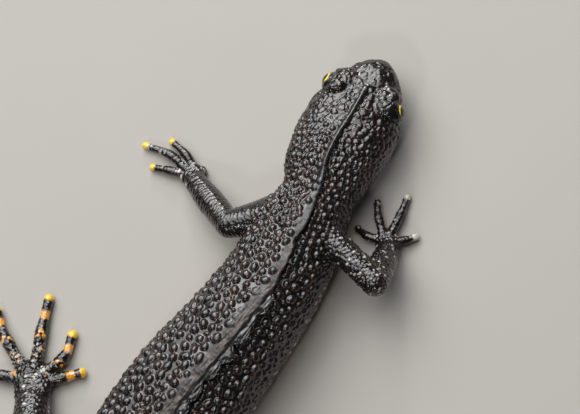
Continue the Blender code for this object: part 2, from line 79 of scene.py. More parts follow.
# Cross sections at a distance s behind the snout:
# s, half width, level of the widest place, back level, belly level.
BODY_SECTIONS = (
    (0.0, 2.5, 3.9, 5.3, 2.6),       # snout
    (2.0, 3.5, 3.8, 6.0, 1.8),       # nostrils
    (4.0, 4.5, 3.7, 6.6, 1.4),       # in front of the eyes
    (6.0, 5.15, 3.7, 7.1, 1.2),      # eyes
    (8.5, 6.3, 3.7, 7.7, 1.0),       # behind the eyes
    (12.0, 6.55, 3.9, 8.4, 0.9),     # corner of the jaw
    (15.0, 6.1, 4.1, 8.6, 0.9),      # cheeks
    (17.5, 5.6, 4.2, 8.5, 1.0),      # nape
    (19.5, 5.0, 4.3, 8.5, 1.2),      # throat fold
    (21.5, 5.3, 4.4, 8.9, 0.8),
    (25.5, 6.1, 4.6, 9.6, 0.3),      # shoulders
    (32.0, 6.8, 4.7, 10.5, -0.1),    # chest
    (40.0, 7.5, 4.7, 11.1, -0.4),    # ribs
    (50.0, 8.4, 4.6, 11.3, -0.6),    # belly
    (58.0, 8.0, 4.6, 10.9, -0.5),
    (64.0, 6.6, 4.6, 10.2, -0.1),    # hips
    (68.0, 4.9, 4.8, 9.5, 1.2),      # vent
    (72.0, 3.8, 4.8, 8.9, 1.3),      # tail root
    (82.0, 3.0, 4.6, 8.2, 1.2),
    (97.0, 2.2, 3.8, 6.7, 1.2),
    (111.0, 1.45, 2.7, 4.7, 1.1),
    (121.0, 0.85, 1.9, 3.0, 1.0),
    (126.0, 0.5, 1.5, 2.1, 0.9),     # tail tip
)
SNOUT_ROUND_WIDTH = 3.2
SNOUT_ROUND_HEIGHT = 1.9
TAIL_END = 126.0
TAIL_ROUND = 1.5
UPPER_SQUARENESS, LOWER_SQUARENESS, TAIL_SQUARENESS = 2.25, 2.4, 2.0
TAIL_BLEND = (64.0, 74.0)

EYE_S, EYE_OUT, EYE_LEVEL, EYE_RADIUS = 5.75, 4.6, 5.5, 1.3
LIDS, LIDS_IN = (2.2, 1.6, 1.62), 0.85  # a little inside the part's
LID_FOOT, LID_FOOT_IN = (2.3, 2.8, 1.25), 1.7  # a wider, lower dome that eases them into the head
JAW_CORNER = 10.4
MOUTH_LEVELS = ((-3.0, 3.35), (0.0, 3.35), (3.0, 2.95), (7.0, 2.75), (11.5, 3.3))
CLOACA_S, CLOACA_LEVEL, CLOACA_SIZE = 67.4, 1.6, (2.6, 3.5, 1.9)

# s, place of the crest's root to the right of the spine, height, lean at root and edge (degrees).
CREST_SECTIONS = (
    (4.2, 0.1, 0.12, 5, 10),
    (5.8, 0.1, 0.45, 5, 15),
    (8.5, 0.1, 0.6, 5, 15),
    (11.5, 0.0, 0.65, 5, 20),
    (14.7, 0.15, 0.7, 10, 30),
    (17.5, 0.35, 0.8, 20, 55),
    (20.0, 0.35, 0.95, 20, 85),
    (22.0, 0.35, 1.35, 20, 88),
    (24.0, 0.45, 1.5, 20, 88),       # the front lobe is widest
    (25.3, 0.45, 1.25, 30, 85),
    (26.2, 0.5, 0.85, 40, 75),       # and ends
    (27.2, 0.45, 1.6, 45, 72),       # a stretch that stands more upright
    (29.5, 0.6, 1.6, 45, 72),
    (31.0, 0.8, 1.3, 42, 75),
    (32.2, 0.7, 1.5, 35, 95),
    (33.5, 0.3, 2.6, 25, 104),       # from here it lies over on the back
    (37.0, 0.2, 3.1, 25, 105),
    (50.0, 0.1, 3.0, 25, 105),
    (60.0, 0.2, 2.4, 25, 102),
    (65.0, 0.2, 1.0, 20, 60),
    (67.0, 0.1, 0.2, 10, 20),
)
UPPER_FIN = (
    (69.0, 0.2), (74.0, 1.9), (84.0, 2.9), (98.0, 2.7), (112.0, 1.8), (122.0, 0.9), (127.2, 0.15),
)
LOWER_FIN = ((72.0, 0.6), (76.0, 1.3), (100.0, 1.4), (118.0, 1.3), (123.0, 1.0), (127.0, 0.2))
FIN_LEANS = (4, 12)

LIMBS = {
    "left_fore": {
        "joints": ((2.2, -0.9, 5.3), (6.9, 4.0, 5.0), (14.6, 2.2, 1.75)),
        "palm": (16.1, 1.6),
        "digits": (
            ((15.9, 0.9), (15.4, 0.3), (14.6, 0.6)),        # folded back beside the wrist
            ((16.2, 0.9), (18.2, 0.0), (21.5, -0.4)),
            ((16.7, 1.6), (19.9, 1.2), (24.2, 2.25)),
            ((16.6, 2.1), (18.8, 2.9), (21.6, 4.1)),
        ),
    },
    "right_fore": {
        "joints": ((-3.6, -2.4, 5.8), (-13.7, -1.0, 6.9), (-11.5, -5.0, 1.75)),
        "palm": (-10.5, -6.2),
        "digits": (
            ((-9.6, -5.8), (-7.9, -5.2), (-5.7, -5.3)),
            ((-9.6, -6.5), (-7.6, -8.1), (-5.9, -9.9)),
            ((-10.3, -7.0), (-9.8, -9.9), (-9.0, -12.8)),
            ((-11.1, -6.5), (-12.4, -7.7), (-13.4, -9.2)),
        ),
    },
    "left_hind": {
        "joints": ((0.8, 36.6, 5.2), (10.9, 42.8, 5.4), (15.0, 38.1, 2.1)),
        "palm": (17.4, 35.4),
        "digits": (
            ((15.9, 35.2), (14.1, 33.0), (12.0, 30.5)),
            ((16.6, 34.4), (15.6, 30.8), (16.75, 27.1)),
            ((17.8, 34.3), (20.1, 30.0), (22.35, 25.2)),
            ((18.9, 35.3), (23.8, 33.3), (27.5, 30.9)),
            ((18.8, 36.5), (21.2, 37.7), (24.0, 39.0)),
        ),
    },
    "right_hind": {
        "joints": ((-3.2, 36.6, 5.2), (-13.2, 36.2, 5.6), (-15.7, 41.3, 2.1)),
        "palm": (-19.1, 40.0),
        "digits": None,              # the left foot's, mirrored
    },
}
RIGHT_FOOT_TURN = -28
ARM_RADII = {"left": (2.8, 2.2, 1.85), "right": (2.0, 1.8, 1.85)}
FOREARM_RADII = (1.8, 1.85, 1.55)
THIGH_RADII = (2.7, 2.5, 2.15)
SHANK_RADII, SHANK_FLATNESS = (2.15, 2.45, 2.45), 0.85
PALM = {"fore": (1.7, 0.95, 1.0), "hind": (2.7, 1.15, 1.15)}
DIGIT_RADII = {"fore": (0.74, 0.62, 0.56), "hind": (1.05, 0.84, 0.76)}
DIGIT_LEVELS = {"fore": (0.95, 0.9, 0.5), "hind": (1.05, 1.0, 0.65)}  # root, middle and tip

# ---- What the skin adds ----

VOXEL = 0.12  # mm between the skin's points
BODY_STEP, BODY_SIDES = 0.5, 72
LIMB_STEP, LIMB_SIDES = 0.4, 36
SMOOTHING = 8  # rounds over the whole skin
FILLET_ROUNDS, FILLET_SPREAD = 36, 14  # more rounds round each hollow where two shapes meet
HOLLOW = (0.006, 0.02)  # mm by which its points lie below their neighbours' mean

# How far the bare skin lies inside the solids, which is the height of its warts there.
SKIN_INSET = (
    (0.0, 0.16), (6.0, 0.16), (10.0, 0.18), (16.0, 0.26), (24.0, 0.34),
    (35.0, 0.42), (60.0, 0.42), (70.0, 0.34), (90.0, 0.16), (126.0, 0.05),
)
LIMB_INSET, DIGIT_INSET = 0.09, 0.04

DIGIT_SWELLING = (1.0, 0.95, 1.05, 0.88, 1.0)  # along a digit, its radius over the part's
CREST_HALVES = (0.24, 0.19)  # half thickness at the root and at the edge
HEAD_RIDGE_HALF = 0.24
FIN_HALVES = (0.34, 0.18)
FIN_TAPER = 3.5  # length over which the tail's end comes to a point
BLADE_STEP, BLADE_STRIPS, BLADE_DEPTH = 0.3, 14, 1.0
BLADE_BEND = 0.4  # as in the part: they bend over mostly near the root
BLADE_SINK = 0.12  # they stand this far inside the solids
RIDGE_TO_CREST = (14, 22)  # s over which the head's ridge becomes the crest
FLAP = (31, 34, 62, 66)  # s at which the crest starts to lie over, does, still does, and no longer does
FLAP_WIDER = 0.3  # mm, since its lobes are cut from it
LOBE_LENGTH, LOBE_DEPTH, FLAP_LOBE_DEPTH, FIN_LOBE_DEPTH = 3.1, 0.12, 1.25, 0.35
# The back starts to rise this far to the left of the head's ridge, and that much farther beside
# the crest.
HEAD_RAMP, CREST_RAMP = 0.1, 1.2

# Warts on the back: s, half the distance between the largest, their radius over that, and their
# height over their radius.
BACK_WARTS = (
    (0.0, 0.30, 1.00, 0.00),
    (3.0, 0.34, 1.00, 0.30),
    (6.0, 0.36, 1.00, 0.45),
    (9.0, 0.38, 1.00, 0.62),
    (16.0, 0.42, 1.00, 0.80),
    (22.0, 0.47, 0.98, 0.82),
    (28.0, 0.54, 0.90, 0.80),
    (35.0, 0.64, 0.84, 0.76),
    (60.0, 0.66, 0.84, 0.76),
    (72.0, 0.50, 0.92, 0.60),
    (90.0, 0.40, 1.00, 0.48),
    (115.0, 0.28, 1.00, 0.35),
    (126.0, 0.22, 1.00, 0.20),
)
WART_SIZES = (1.0, 0.72, 0.5)  # the large ones are placed first, then smaller ones between
FLANK_SIZE = 0.6  # radius low on the flank, as a share of that on the back
LIMB_WARTS = ((0.36, 0.85), (0.25, 0.70))  # radius, height over radius: at the body, at the toes
RIGHT_ARM_FINER, TOE_FINER = 0.22, 0.35  # granules are smaller there by this share
LEFT_ARM_COARSER, RIGHT_ARM_TALLER = 0.3, 0.3
BELLY_FLATTER, HEAD_FLATTER, TOE_FLATTER = 0.75, 0.40, 0.45
WART_CANDIDATES = 0.4  # share of the skin's points that a wart may stand on
WART_OVERLAP = 1.04  # their radius over that at which they would just touch
WART_HEIGHTS = (0.8, 1.15)  # least and most, over the planned height
WART_ROUNDNESS = 0.60  # 0.5 is a half ball, more is flatter at its foot
WART_UNEVEN = 0.22  # how far their outlines depart from ovals
STRETCH = (1.0, 1.4)  # their length over their width
LEFT_ARM_STRETCH = (1.5, 2.4)  # there they lie round the arm
# Share of the warts that are whitish.
PALE_FLANK, PALE_CHEEK = 0.45, 0.25
PALE_HIND, PALE_TOES, PALE_RIGHT_ARM, PALE_LEFT_HAND = 0.14, 0.04, 0.12, 0.12

PLATE_SPACING, PLATE_HEIGHT = 0.95, 0.27  # the low plates on top of the head
FURROW = 0.20  # width of the furrows between them
HEAD_UNEVEN = 0.10  # rise and fall of the head's top over about 1 mm
PIT_SPACING, PIT_RADIUS, PIT_DEPTH = 0.48, 0.22, 0.14  # pits on the snout and the head's top

NOSTRIL = (0.9, 1.3, 4.9)  # s, out, level
# Creases and the nostrils' raised rims: width, and depth or height.
NOSTRIL_HOLE, NOSTRIL_RIM = (0.2, 0.28), (0.5, 0.05)
MOUTH_CREASE = (0.16, 0.2)
THROAT_FOLD_S, THROAT_FOLD = 19.3, (0.45, 0.4)
FRONT_FOLD_AHEAD, FRONT_FOLD = 2.2, (0.3, 0.12)  # a weaker one ahead of it
# Rows of creases: distance from one to the next, and depth.
FLANK_GROOVES, JOINT_CREASES = (3.4, 0.1), (0.75, 0.06)
FLAP_STEP = 0.2  # the crest's flap is thinner by this beyond its root
RUFFLE_LENGTH, RUFFLE_HEIGHT = 1.4, 0.05
TOE_TIP = 0.95  # length of the yellow tips, mm
TOE_BANDS = ((2.6, 0.5, -0.4), (5.0, 0.6, 0.15), (7.8, 0.8, 0.35))  # middle, half width, sparseness
TOE_SPECKS = (6.2, 7.0, 8.2, 8.7)  # mm from the tip: start, full, end and gone

EYE_RINGS, EYE_SIDES = 64, 64
CORNEA_BULGE = 0.03
PUPIL, GOLD, IRIS = 0.60, 0.76, 1.05  # where they end, radians from the pupil's middle
EYE_AXES = {1: (22, 10), -1: (7, 33)}  # left and right: degrees up and ahead of outwards
GOLD_AHEAD = 25  # degrees ahead of the eye's top at which the gold is brightest, where light is painted on the ring
OPENING_LONG, OPENING_TALL = 60, 54  # half angles of the opening between the lids
LID_RIM = 0.12  # least thickness of the lids round the eye
LID_SMOOTH = (1.42, 1.62)  # the lids are smooth this near the eye's middle
LID_REACH = 2.6  # the skin is shaped this near the eye's middle
OPENING_SINK = 0.25  # in the opening it lies this far inside the eyeball

# ---- The photograph's view and the studio ----

VIEW_TILT = 15.0  # degrees from straight down, to the animal's right
VIEW_TURN = 35.8  # degrees the head points to the right of the picture's top
VIEW_TARGET = (2.97, -2.42, 0.0)  # the middle of the picture, in the plan
VIEW_DISTANCE, VIEW_WIDTH = 0.43, 0.0754  # metres
SENSOR = 36.0
WORLD_COLOUR, WORLD_STRENGTH = (0.9, 0.95, 1.0, 1), 0.06
FLOOR_SIZE, FLOOR_COLOUR, FLOOR_SHADE = 6.0, (0.42, 0.40, 0.37, 1), (0.38, 0.365, 0.335, 1)
# name, direction, distance, radius and radiance
LAMPS = (
    ("sky", (0.48, -0.28, 0.83), 0.6, 0.44, 2.7),
    ("window", (0.60, -0.42, 0.69), 0.6, 0.20, 3.8),
    ("glint", (-0.19, 0.62, 0.76), 0.5, 0.03, 40.0),
    ("front_glint", (0.56, -0.76, 0.33), 0.5, 0.04, 30.0),
)


def between(stations, column, s):
    """A monotone cubic through one column of a table whose first column is s."""
    xs = np.array([row[0] for row in stations], float)
    ys = np.array([row[column] for row in stations], float)
    steps = np.diff(xs)
    slopes = np.diff(ys) / steps
    tangents = np.zeros(len(xs))
    tangents[0], tangents[-1] = slopes[0], slopes[-1]
    for i in range(1, len(xs) - 1):
        if slopes[i - 1] * slopes[i] > 0:
            before, after = 2 * steps[i] + steps[i - 1], steps[i] + 2 * steps[i - 1]
            tangents[i] = (before + after) / (before / slopes[i - 1] + after / slopes[i])
    s = np.clip(s, xs[0], xs[-1])
    i = np.clip(np.searchsorted(xs, s, "right") - 1, 0, len(steps) - 1)
    t = (s - xs[i]) / steps[i]
    return (
        ys[i] * (1 + 2 * t) * (1 - t) ** 2 + steps[i] * tangents[i] * t * (1 - t) ** 2
        + ys[i + 1] * t * t * (3 - 2 * t) + steps[i] * tangents[i + 1] * t * t * (t - 1)
    )


def smooth_step(value, low, high):
    """From 0 at low to 1 at high."""
    t = np.clip((value - low) / (high - low), 0, 1)
    return t * t * (3 - 2 * t)


def within(value, start, full, end, gone):
    """0 before start, 1 from full to end, and 0 again after gone."""
    return smooth_step(value, start, full) * smooth_step(value, gone, end)


def mottle(points, size, shift=0.0):
    """Smooth noise, about -1 to 1, that changes over this size in mm."""
    return np.array([noise.noise(place) for place in (points / size + shift).tolist()])


class Path:
    """A smooth curve through points, read by distance along it, straight beyond its ends."""

    STEPS = 24

    def __init__(self, points):
        points = np.array(points, float)
        if points.shape[1] == 2:
            points = np.column_stack([points, np.zeros(len(points))])
        ends = np.vstack([2 * points[0] - points[1], points, 2 * points[-1] - points[-2]])
        t = np.linspace(0, 1, self.STEPS, endpoint=False)[:, None]
        spans = []
        for a, b, c, d in zip(ends, ends[1:], ends[2:], ends[3:]):
            bend = (2 * a - 5 * b + 4 * c - d) * t**2 + (3 * b - a - 3 * c + d) * t**3
            spans.append(b + ((c - a) * t + bend) / 2)
        self.points = np.vstack([*spans, points[-1:]])
        lengths = np.linalg.norm(np.diff(self.points, axis=0), axis=1)
        self.along = np.concatenate([[0], np.cumsum(lengths)])
        self.length = float(self.along[-1])

    def at(self, s):
        """(places, directions) at distances s."""
        s = np.asarray(s, float)
        i = np.clip(np.searchsorted(self.along, s) - 1, 0, len(self.along) - 2)
        step = self.points[i + 1] - self.points[i]
        direction = step / np.linalg.norm(step, axis=-1, keepdims=True)
        return self.points[i] + direction * (s - self.along[i])[..., None], direction

    def nearest(self, points):
        """(distance along, distance away) of the path's place nearest to each point."""
        along, away = np.empty(len(points)), np.empty(len(points))
        for start in range(0, len(points), 20000):
            part = slice(start, start + 20000)
            gaps = np.linalg.norm(points[part, None] - self.points[None], axis=2)
            nearest = gaps.argmin(1)
            along[part], away[part] = self.along[nearest], gaps.min(1)
        return along, away


SPINE = Path(list(SPINE_LANDMARKS.values()))


def side_place(s, out, level):
    """Places at distance out to the left of the spine (negative: to the right)."""
    place, backwards = SPINE.at(s)
    left = np.cross(backwards, UP)
    return place + left * np.asarray(out)[..., None] + UP * np.asarray(level)[..., None]


def rounding(s, length):
    """From 0 at an end to 1 at this length from it, as a quarter of an ellipse."""
    return np.sqrt(1 - (1 - np.clip(s / length, 0, 1)) ** 2)


def body_outline(s):
    """Half width and the levels of the widest place, back and belly, with rounded ends."""
    half, widest, back, belly = (between(BODY_SECTIONS, column, s) for column in (1, 2, 3, 4))
    end = rounding(TAIL_END - s, TAIL_ROUND)
    half = half * rounding(s, SNOUT_ROUND_WIDTH) * end
    height = rounding(s, SNOUT_ROUND_HEIGHT) * end
    return half, widest, widest + (back - widest) * height, widest + (belly - widest) * height


def squareness(s):
    """Powers of the section's upper and lower half."""
    tail = np.clip((s - TAIL_BLEND[0]) / (TAIL_BLEND[1] - TAIL_BLEND[0]), 0, 1)
    return tuple(body + (TAIL_SQUARENESS - body) * tail for body in (UPPER_SQUARENESS, LOWER_SQUARENESS))


def body_rings(s):
    """A ring round the body at each distance s, inside the solids by the warts' height."""
    s = np.asarray(s)[:, None]
    half, widest, back, belly = body_outline(s)
    upper, lower = squareness(s)
    inset = between(SKIN_INSET, 1, s)
    angle = np.linspace(0, 2 * math.pi, BODY_SIDES, endpoint=False)[None]
    c, n = np.cos(angle), np.sin(angle)
    power = 2 / np.where(n > 0, upper, lower)
    reach = np.where(n > 0, back - widest, widest - belly)
    out = np.sign(c) * np.abs(c) ** power * np.maximum(half - inset, 0.02)
    level = widest + np.sign(n) * np.abs(n) ** power * np.maximum(reach - inset, 0.02)
    return side_place(np.broadcast_to(s, out.shape), out, level)


class Form:
    """Closed shapes that overlap, before they become one skin."""

    def __init__(self):
        self.points, self.faces, self.count = [], [], 0

    def loft(self, rings):
        rows, sides = rings.shape[:2]
        index = self.count + np.arange(rows * sides).reshape(rows, sides)
        turned = np.roll(index, -1, axis=1)
        quads = np.stack([index[:-1], turned[:-1], turned[1:], index[1:]], axis=-1).reshape(-1, 4)
        self.points.append(rings.reshape(-1, 3))
        self.faces += [*quads.tolist(), index[0].tolist(), index[-1].tolist()]
        self.count += rows * sides

    def ellipsoid(self, centre, radii, turn=0.0):
        """Radii across, along and up; turn is about the vertical."""
        tilt = np.linspace(-1, 1, 25) * math.radians(88)
        angle = np.linspace(0, 2 * math.pi, 32, endpoint=False)
        ring = np.stack([np.cos(angle), np.sin(angle)], axis=1)
        across, along = (np.cos(tilt)[:, None] * ring[None, :, k] * radii[k] for k in (0, 1))
        up = np.broadcast_to(np.sin(tilt)[:, None] * radii[2], across.shape)
        x = across * math.cos(turn) - along * math.sin(turn)
        y = across * math.sin(turn) + along * math.cos(turn)
        self.loft(np.stack([x, y, up], axis=-1) + np.asarray(centre))

    def tube(self, points, radii, flatness=1.0, inset=LIMB_INSET):
        """A round-ended limb through points. Radii are spaced evenly along it."""
        path = Path(points)
        table = [(path.length * k / (len(radii) - 1), r - inset) for k, r in enumerate(radii)]
        bends = np.radians((3, 15, 30, 45, 60, 75))
        inside = np.linspace(0, path.length, max(4, round(path.length / LIMB_STEP)))
        places = np.concatenate([
            -table[0][1] * np.cos(bends), inside, path.length + table[-1][1] * np.cos(bends[::-1]),
        ])
        share = np.concatenate([np.sin(bends), np.ones(len(inside)), np.sin(bends[::-1])])
        centre, along = path.at(places)
        side = np.cross(along, UP)
        side /= np.linalg.norm(side, axis=1, keepdims=True)
        up = np.cross(side, along)
        radius = (between(table, 1, places) * share)[:, None, None]
        angle = np.linspace(0, 2 * math.pi, LIMB_SIDES, endpoint=False)[None, :, None]
        ring = side[:, None] * np.cos(angle) + up[:, None] * np.sin(angle) * flatness
        self.loft(centre[:, None] + ring * radius)

    def blade(self, s, aside, height, leans, halves, ramp):
        """A thin blade that rises from the back, aside to the right of the spine, and bends over.
        The ramp is how far to the left of it the back starts to rise towards its top."""
        rings = []
        back = body_outline(np.minimum(s, TAIL_END - TAIL_ROUND))[2]
        share = np.linspace(0, 1, BLADE_STRIPS + 1)
        before = np.maximum(share - 0.5 / BLADE_STRIPS, 0)
        for i, place in enumerate(s):
            root_lean, more = leans[0][i], leans[1][i] - leans[0][i]
            lean, step = (np.radians(root_lean + more * part**BLADE_BEND) for part in (share, before))
            moved = np.array([np.sin(step), np.cos(step)]) * height[i] / BLADE_STRIPS
            moved[:, 0] = 0
            out, up = np.cumsum(moved, axis=1)
            half = halves[0][i] + (halves[1][i] - halves[0][i]) * np.minimum(1, 1.5 * share)
            half = half * rounding(1.04 - share, 0.16)
            over = np.stack([out - np.cos(lean) * half, up + np.sin(lean) * half])
            under = np.stack([out + np.cos(lean) * half, up - np.sin(lean) * half])[:, ::-1]
            top = over[1].argmax()
            over[0, :top] -= ramp[i] * (1 - over[1, :top] / over[1, top])
            left_foot = np.array([[-halves[0][i] - ramp[i]] * 2, [-BLADE_DEPTH, -0.2]])
            right_foot = np.array([[halves[0][i]], [-BLADE_DEPTH]])
            section = np.concatenate([left_foot, over, under, right_foot], axis=1)
            rings.append(side_place(
                np.full(section.shape[1], place), -aside[i] - section[0], back[i] - BLADE_SINK + section[1],
            ))
        self.loft(np.array(rings))


def spine_turn(s):
    """Angle of the animal's left from the x axis."""
    left = np.cross(SPINE.at(s)[1], UP)
    return math.atan2(left[1], left[0])


def add_body(form):
    nose = np.array((0.02, 0.08, 0.18, 0.32, 0.5, 0.75, 1.0, 1.3, 1.6))
    trunk = np.arange(2.0, TAIL_END - TAIL_ROUND, BODY_STEP)
    tail = TAIL_END - np.array((1.2, 0.9, 0.6, 0.35, 0.15, 0.05))
    form.loft(body_rings(np.concatenate([nose, trunk, tail])))
    form.ellipsoid(side_place(CLOACA_S, 0, CLOACA_LEVEL), CLOACA_SIZE, spine_turn(CLOACA_S))


def add_lids(form):
    for side in (1, -1):
        centre = side_place(EYE_S, side * (EYE_OUT - LIDS_IN), EYE_LEVEL)
        form.ellipsoid(centre, LIDS, spine_turn(EYE_S))
        foot = side_place(EYE_S, side * (EYE_OUT - LID_FOOT_IN), EYE_LEVEL)
        form.ellipsoid(foot, LID_FOOT, spine_turn(EYE_S))


def lobes(s):
    """Height that the crest's and fins' edges lose between their lobes, from 0 to 1."""
    phase = s / LOBE_LENGTH + 0.3 * np.sin(s / 4.1) + 0.15 * np.sin(s / 1.7)
    return 1 - np.sqrt(np.abs(np.sin(math.pi * phase)))


def add_crest(form):
    s = np.arange(CREST_SECTIONS[0][0], CREST_SECTIONS[-1][0], BLADE_STEP)
    aside, height, root_lean, edge_lean = (between(CREST_SECTIONS, k, s) for k in (1, 2, 3, 4))
    flap = smooth_step(s, *FLAP[:2])
    depth = (LOBE_DEPTH + FLAP_LOBE_DEPTH * flap) * lobes(s) * np.minimum(1, height / 2)
    height = height + FLAP_WIDER * flap - depth
    waver = 0.16 * np.sin(s / 1.3) + 0.12 * np.sin(s / 0.57 + 1)
    crest = smooth_step(s, *RIDGE_TO_CREST)
    halves = [HEAD_RIDGE_HALF + (half - HEAD_RIDGE_HALF) * crest for half in CREST_HALVES]
    leans, ramp = (root_lean, edge_lean), HEAD_RAMP + CREST_RAMP * crest
    form.blade(s, aside + flap * waver, height, leans, halves, ramp)


def add_fins(form):
    """The tail's fins, which taper to a point at its end."""
    s = np.arange(UPPER_FIN[0][0], UPPER_FIN[-1][0], BLADE_STEP)
    height = between(UPPER_FIN, 1, s)
    height = height - FIN_LOBE_DEPTH * lobes(s) * np.minimum(1, height / 2)
    taper = rounding(UPPER_FIN[-1][0] - s, FIN_TAPER)
    height = (BLADE_DEPTH + height) * taper - BLADE_DEPTH
    leans = [np.full(len(s), lean) for lean in FIN_LEANS]
    halves = [half * np.maximum(taper, 0.5) for half in FIN_HALVES]
    form.blade(s, np.zeros(len(s)), height, leans, halves, np.zeros(len(s)))
    rings = []
    widths = np.array((0.12, 0.22, 0.28, 0.36))  # from its edge up into the body
    outs = np.concatenate([-widths[::-1], widths])
    for place in np.arange(LOWER_FIN[0][0], LOWER_FIN[-1][0], BLADE_STEP):
        belly = body_outline(min(place, TAIL_END - TAIL_ROUND))[3]
        edge, end_level = belly - between(LOWER_FIN, 1, place), belly + 0.45
        levels = np.interp(np.abs(outs), widths, (edge - 0.06, edge, belly - 0.2, belly + 0.9))
        taper = rounding(UPPER_FIN[-1][0] - place, FIN_TAPER)
        levels = end_level + (levels - end_level) * taper
        rings.append(side_place(np.full(len(outs), place), outs * max(taper, 0.5), levels))
    form.loft(np.array(rings))


def digit_points(points, kind):
    """Root, middle and tip of a digit in space, the tip drawn in by its own radius."""
    root, middle, tip = (np.array((*point, level)) for point, level in zip(points, DIGIT_LEVELS[kind]))
    inwards = (middle - tip) * (1, 1, 0)
    return root, middle, tip + inwards / np.linalg.norm(inwards) * DIGIT_RADII[kind][-1]


def limb_digits(limb_name):
    """Each digit of a limb, as root, middle and tip seen from above."""
    limb = LIMBS[limb_name]
    if limb["digits"]:
        return limb["digits"]
    left = LIMBS["left_hind"]
    turn = math.radians(RIGHT_FOOT_TURN)
    about = np.array(((math.cos(turn), -math.sin(turn)), (math.sin(turn), math.cos(turn))))
    made = []
    for points in left["digits"]:
        away = (np.array(points) - left["palm"]) * (-1, 1)
        made.append((np.array(limb["palm"]) + away @ about.T).tolist())
    return made


def add_limbs(form):
    for limb_name, limb in LIMBS.items():
        side, kind = limb_name.split("_")
        root, knee, wrist = limb["joints"]
        wide, tall, level = PALM[kind]
        middle = (*limb["palm"], level)
        if kind == "fore":
            upper, lower, flatness = ARM_RADII[side], FOREARM_RADII, 1.0
        else:
            upper, lower, flatness = THIGH_RADII, SHANK_RADII, SHANK_FLATNESS
        form.tube([root, knee], upper)
        form.tube([knee, wrist], lower, flatness)
        half_way = tuple(np.add(wrist, middle) / 2)
        form.tube([wrist, half_way, middle], (lower[-1], (lower[-1] + wide) / 2, wide), tall / wide)
        first, second, last = DIGIT_RADII[kind]
        for points in limb_digits(limb_name):
            radii = np.multiply((first, second, second, last, last), DIGIT_SWELLING)
            form.tube(digit_points(points, kind), radii, inset=DIGIT_INSET)


def add_object(name, data):
    obj = bpy.data.objects.new(name, data)
    bpy.context.scene.collection.objects.link(obj)
    return obj


def new_mesh_object(name, points, faces):
    mesh = bpy.data.meshes.new(name)
    mesh.from_pydata(np.asarray(points).tolist(), [], faces)
    return add_object(name, mesh)


def merged_skin():
    """All the shapes as one closed mesh of small, even faces."""
    form = Form()
    add_body(form)
    add_lids(form)
    add_crest(form)
    add_fins(form)
    add_limbs(form)
    obj = new_mesh_object("forms", np.concatenate(form.points), form.faces)
    obj.name = "newt_skin"
    remesh = obj.modifiers.new("remesh", "REMESH")
    remesh.mode = "VOXEL"
    remesh.voxel_size = VOXEL
    graph = bpy.context.evaluated_depsgraph_get()
    obj.data = bpy.data.meshes.new_from_object(obj.evaluated_get(graph))
    obj.modifiers.clear()
    obj.data.name = "newt_skin"
    return obj


def read_points(mesh):
    points = np.empty(len(mesh.vertices) * 3)
    mesh.vertices.foreach_get("co", points)
    return points.reshape(-1, 3)


def write_points(mesh, points):
    mesh.vertices.foreach_set("co", points.ravel())
    mesh.update()


def read_normals(mesh):
    normals = np.empty(len(mesh.vertices) * 3)
    mesh.vertex_normals.foreach_get("vector", normals)
    return normals.reshape(-1, 3)


def relaxed(points, edges, share, rounds):
    """Points moved towards the mean of their neighbours."""
    here = np.concatenate([edges[:, 0], edges[:, 1]])
    there = np.concatenate([edges[:, 1], edges[:, 0]])
    number = np.bincount(here, minlength=len(points))[:, None]
    share = np.broadcast_to(share, (len(points), 1))
    for _ in range(rounds):
        sums = [np.bincount(here, weights=points[there, k], minlength=len(points)) for k in range(3)]
        points = points + (np.stack(sums, axis=1) / number - points) * share
    return points


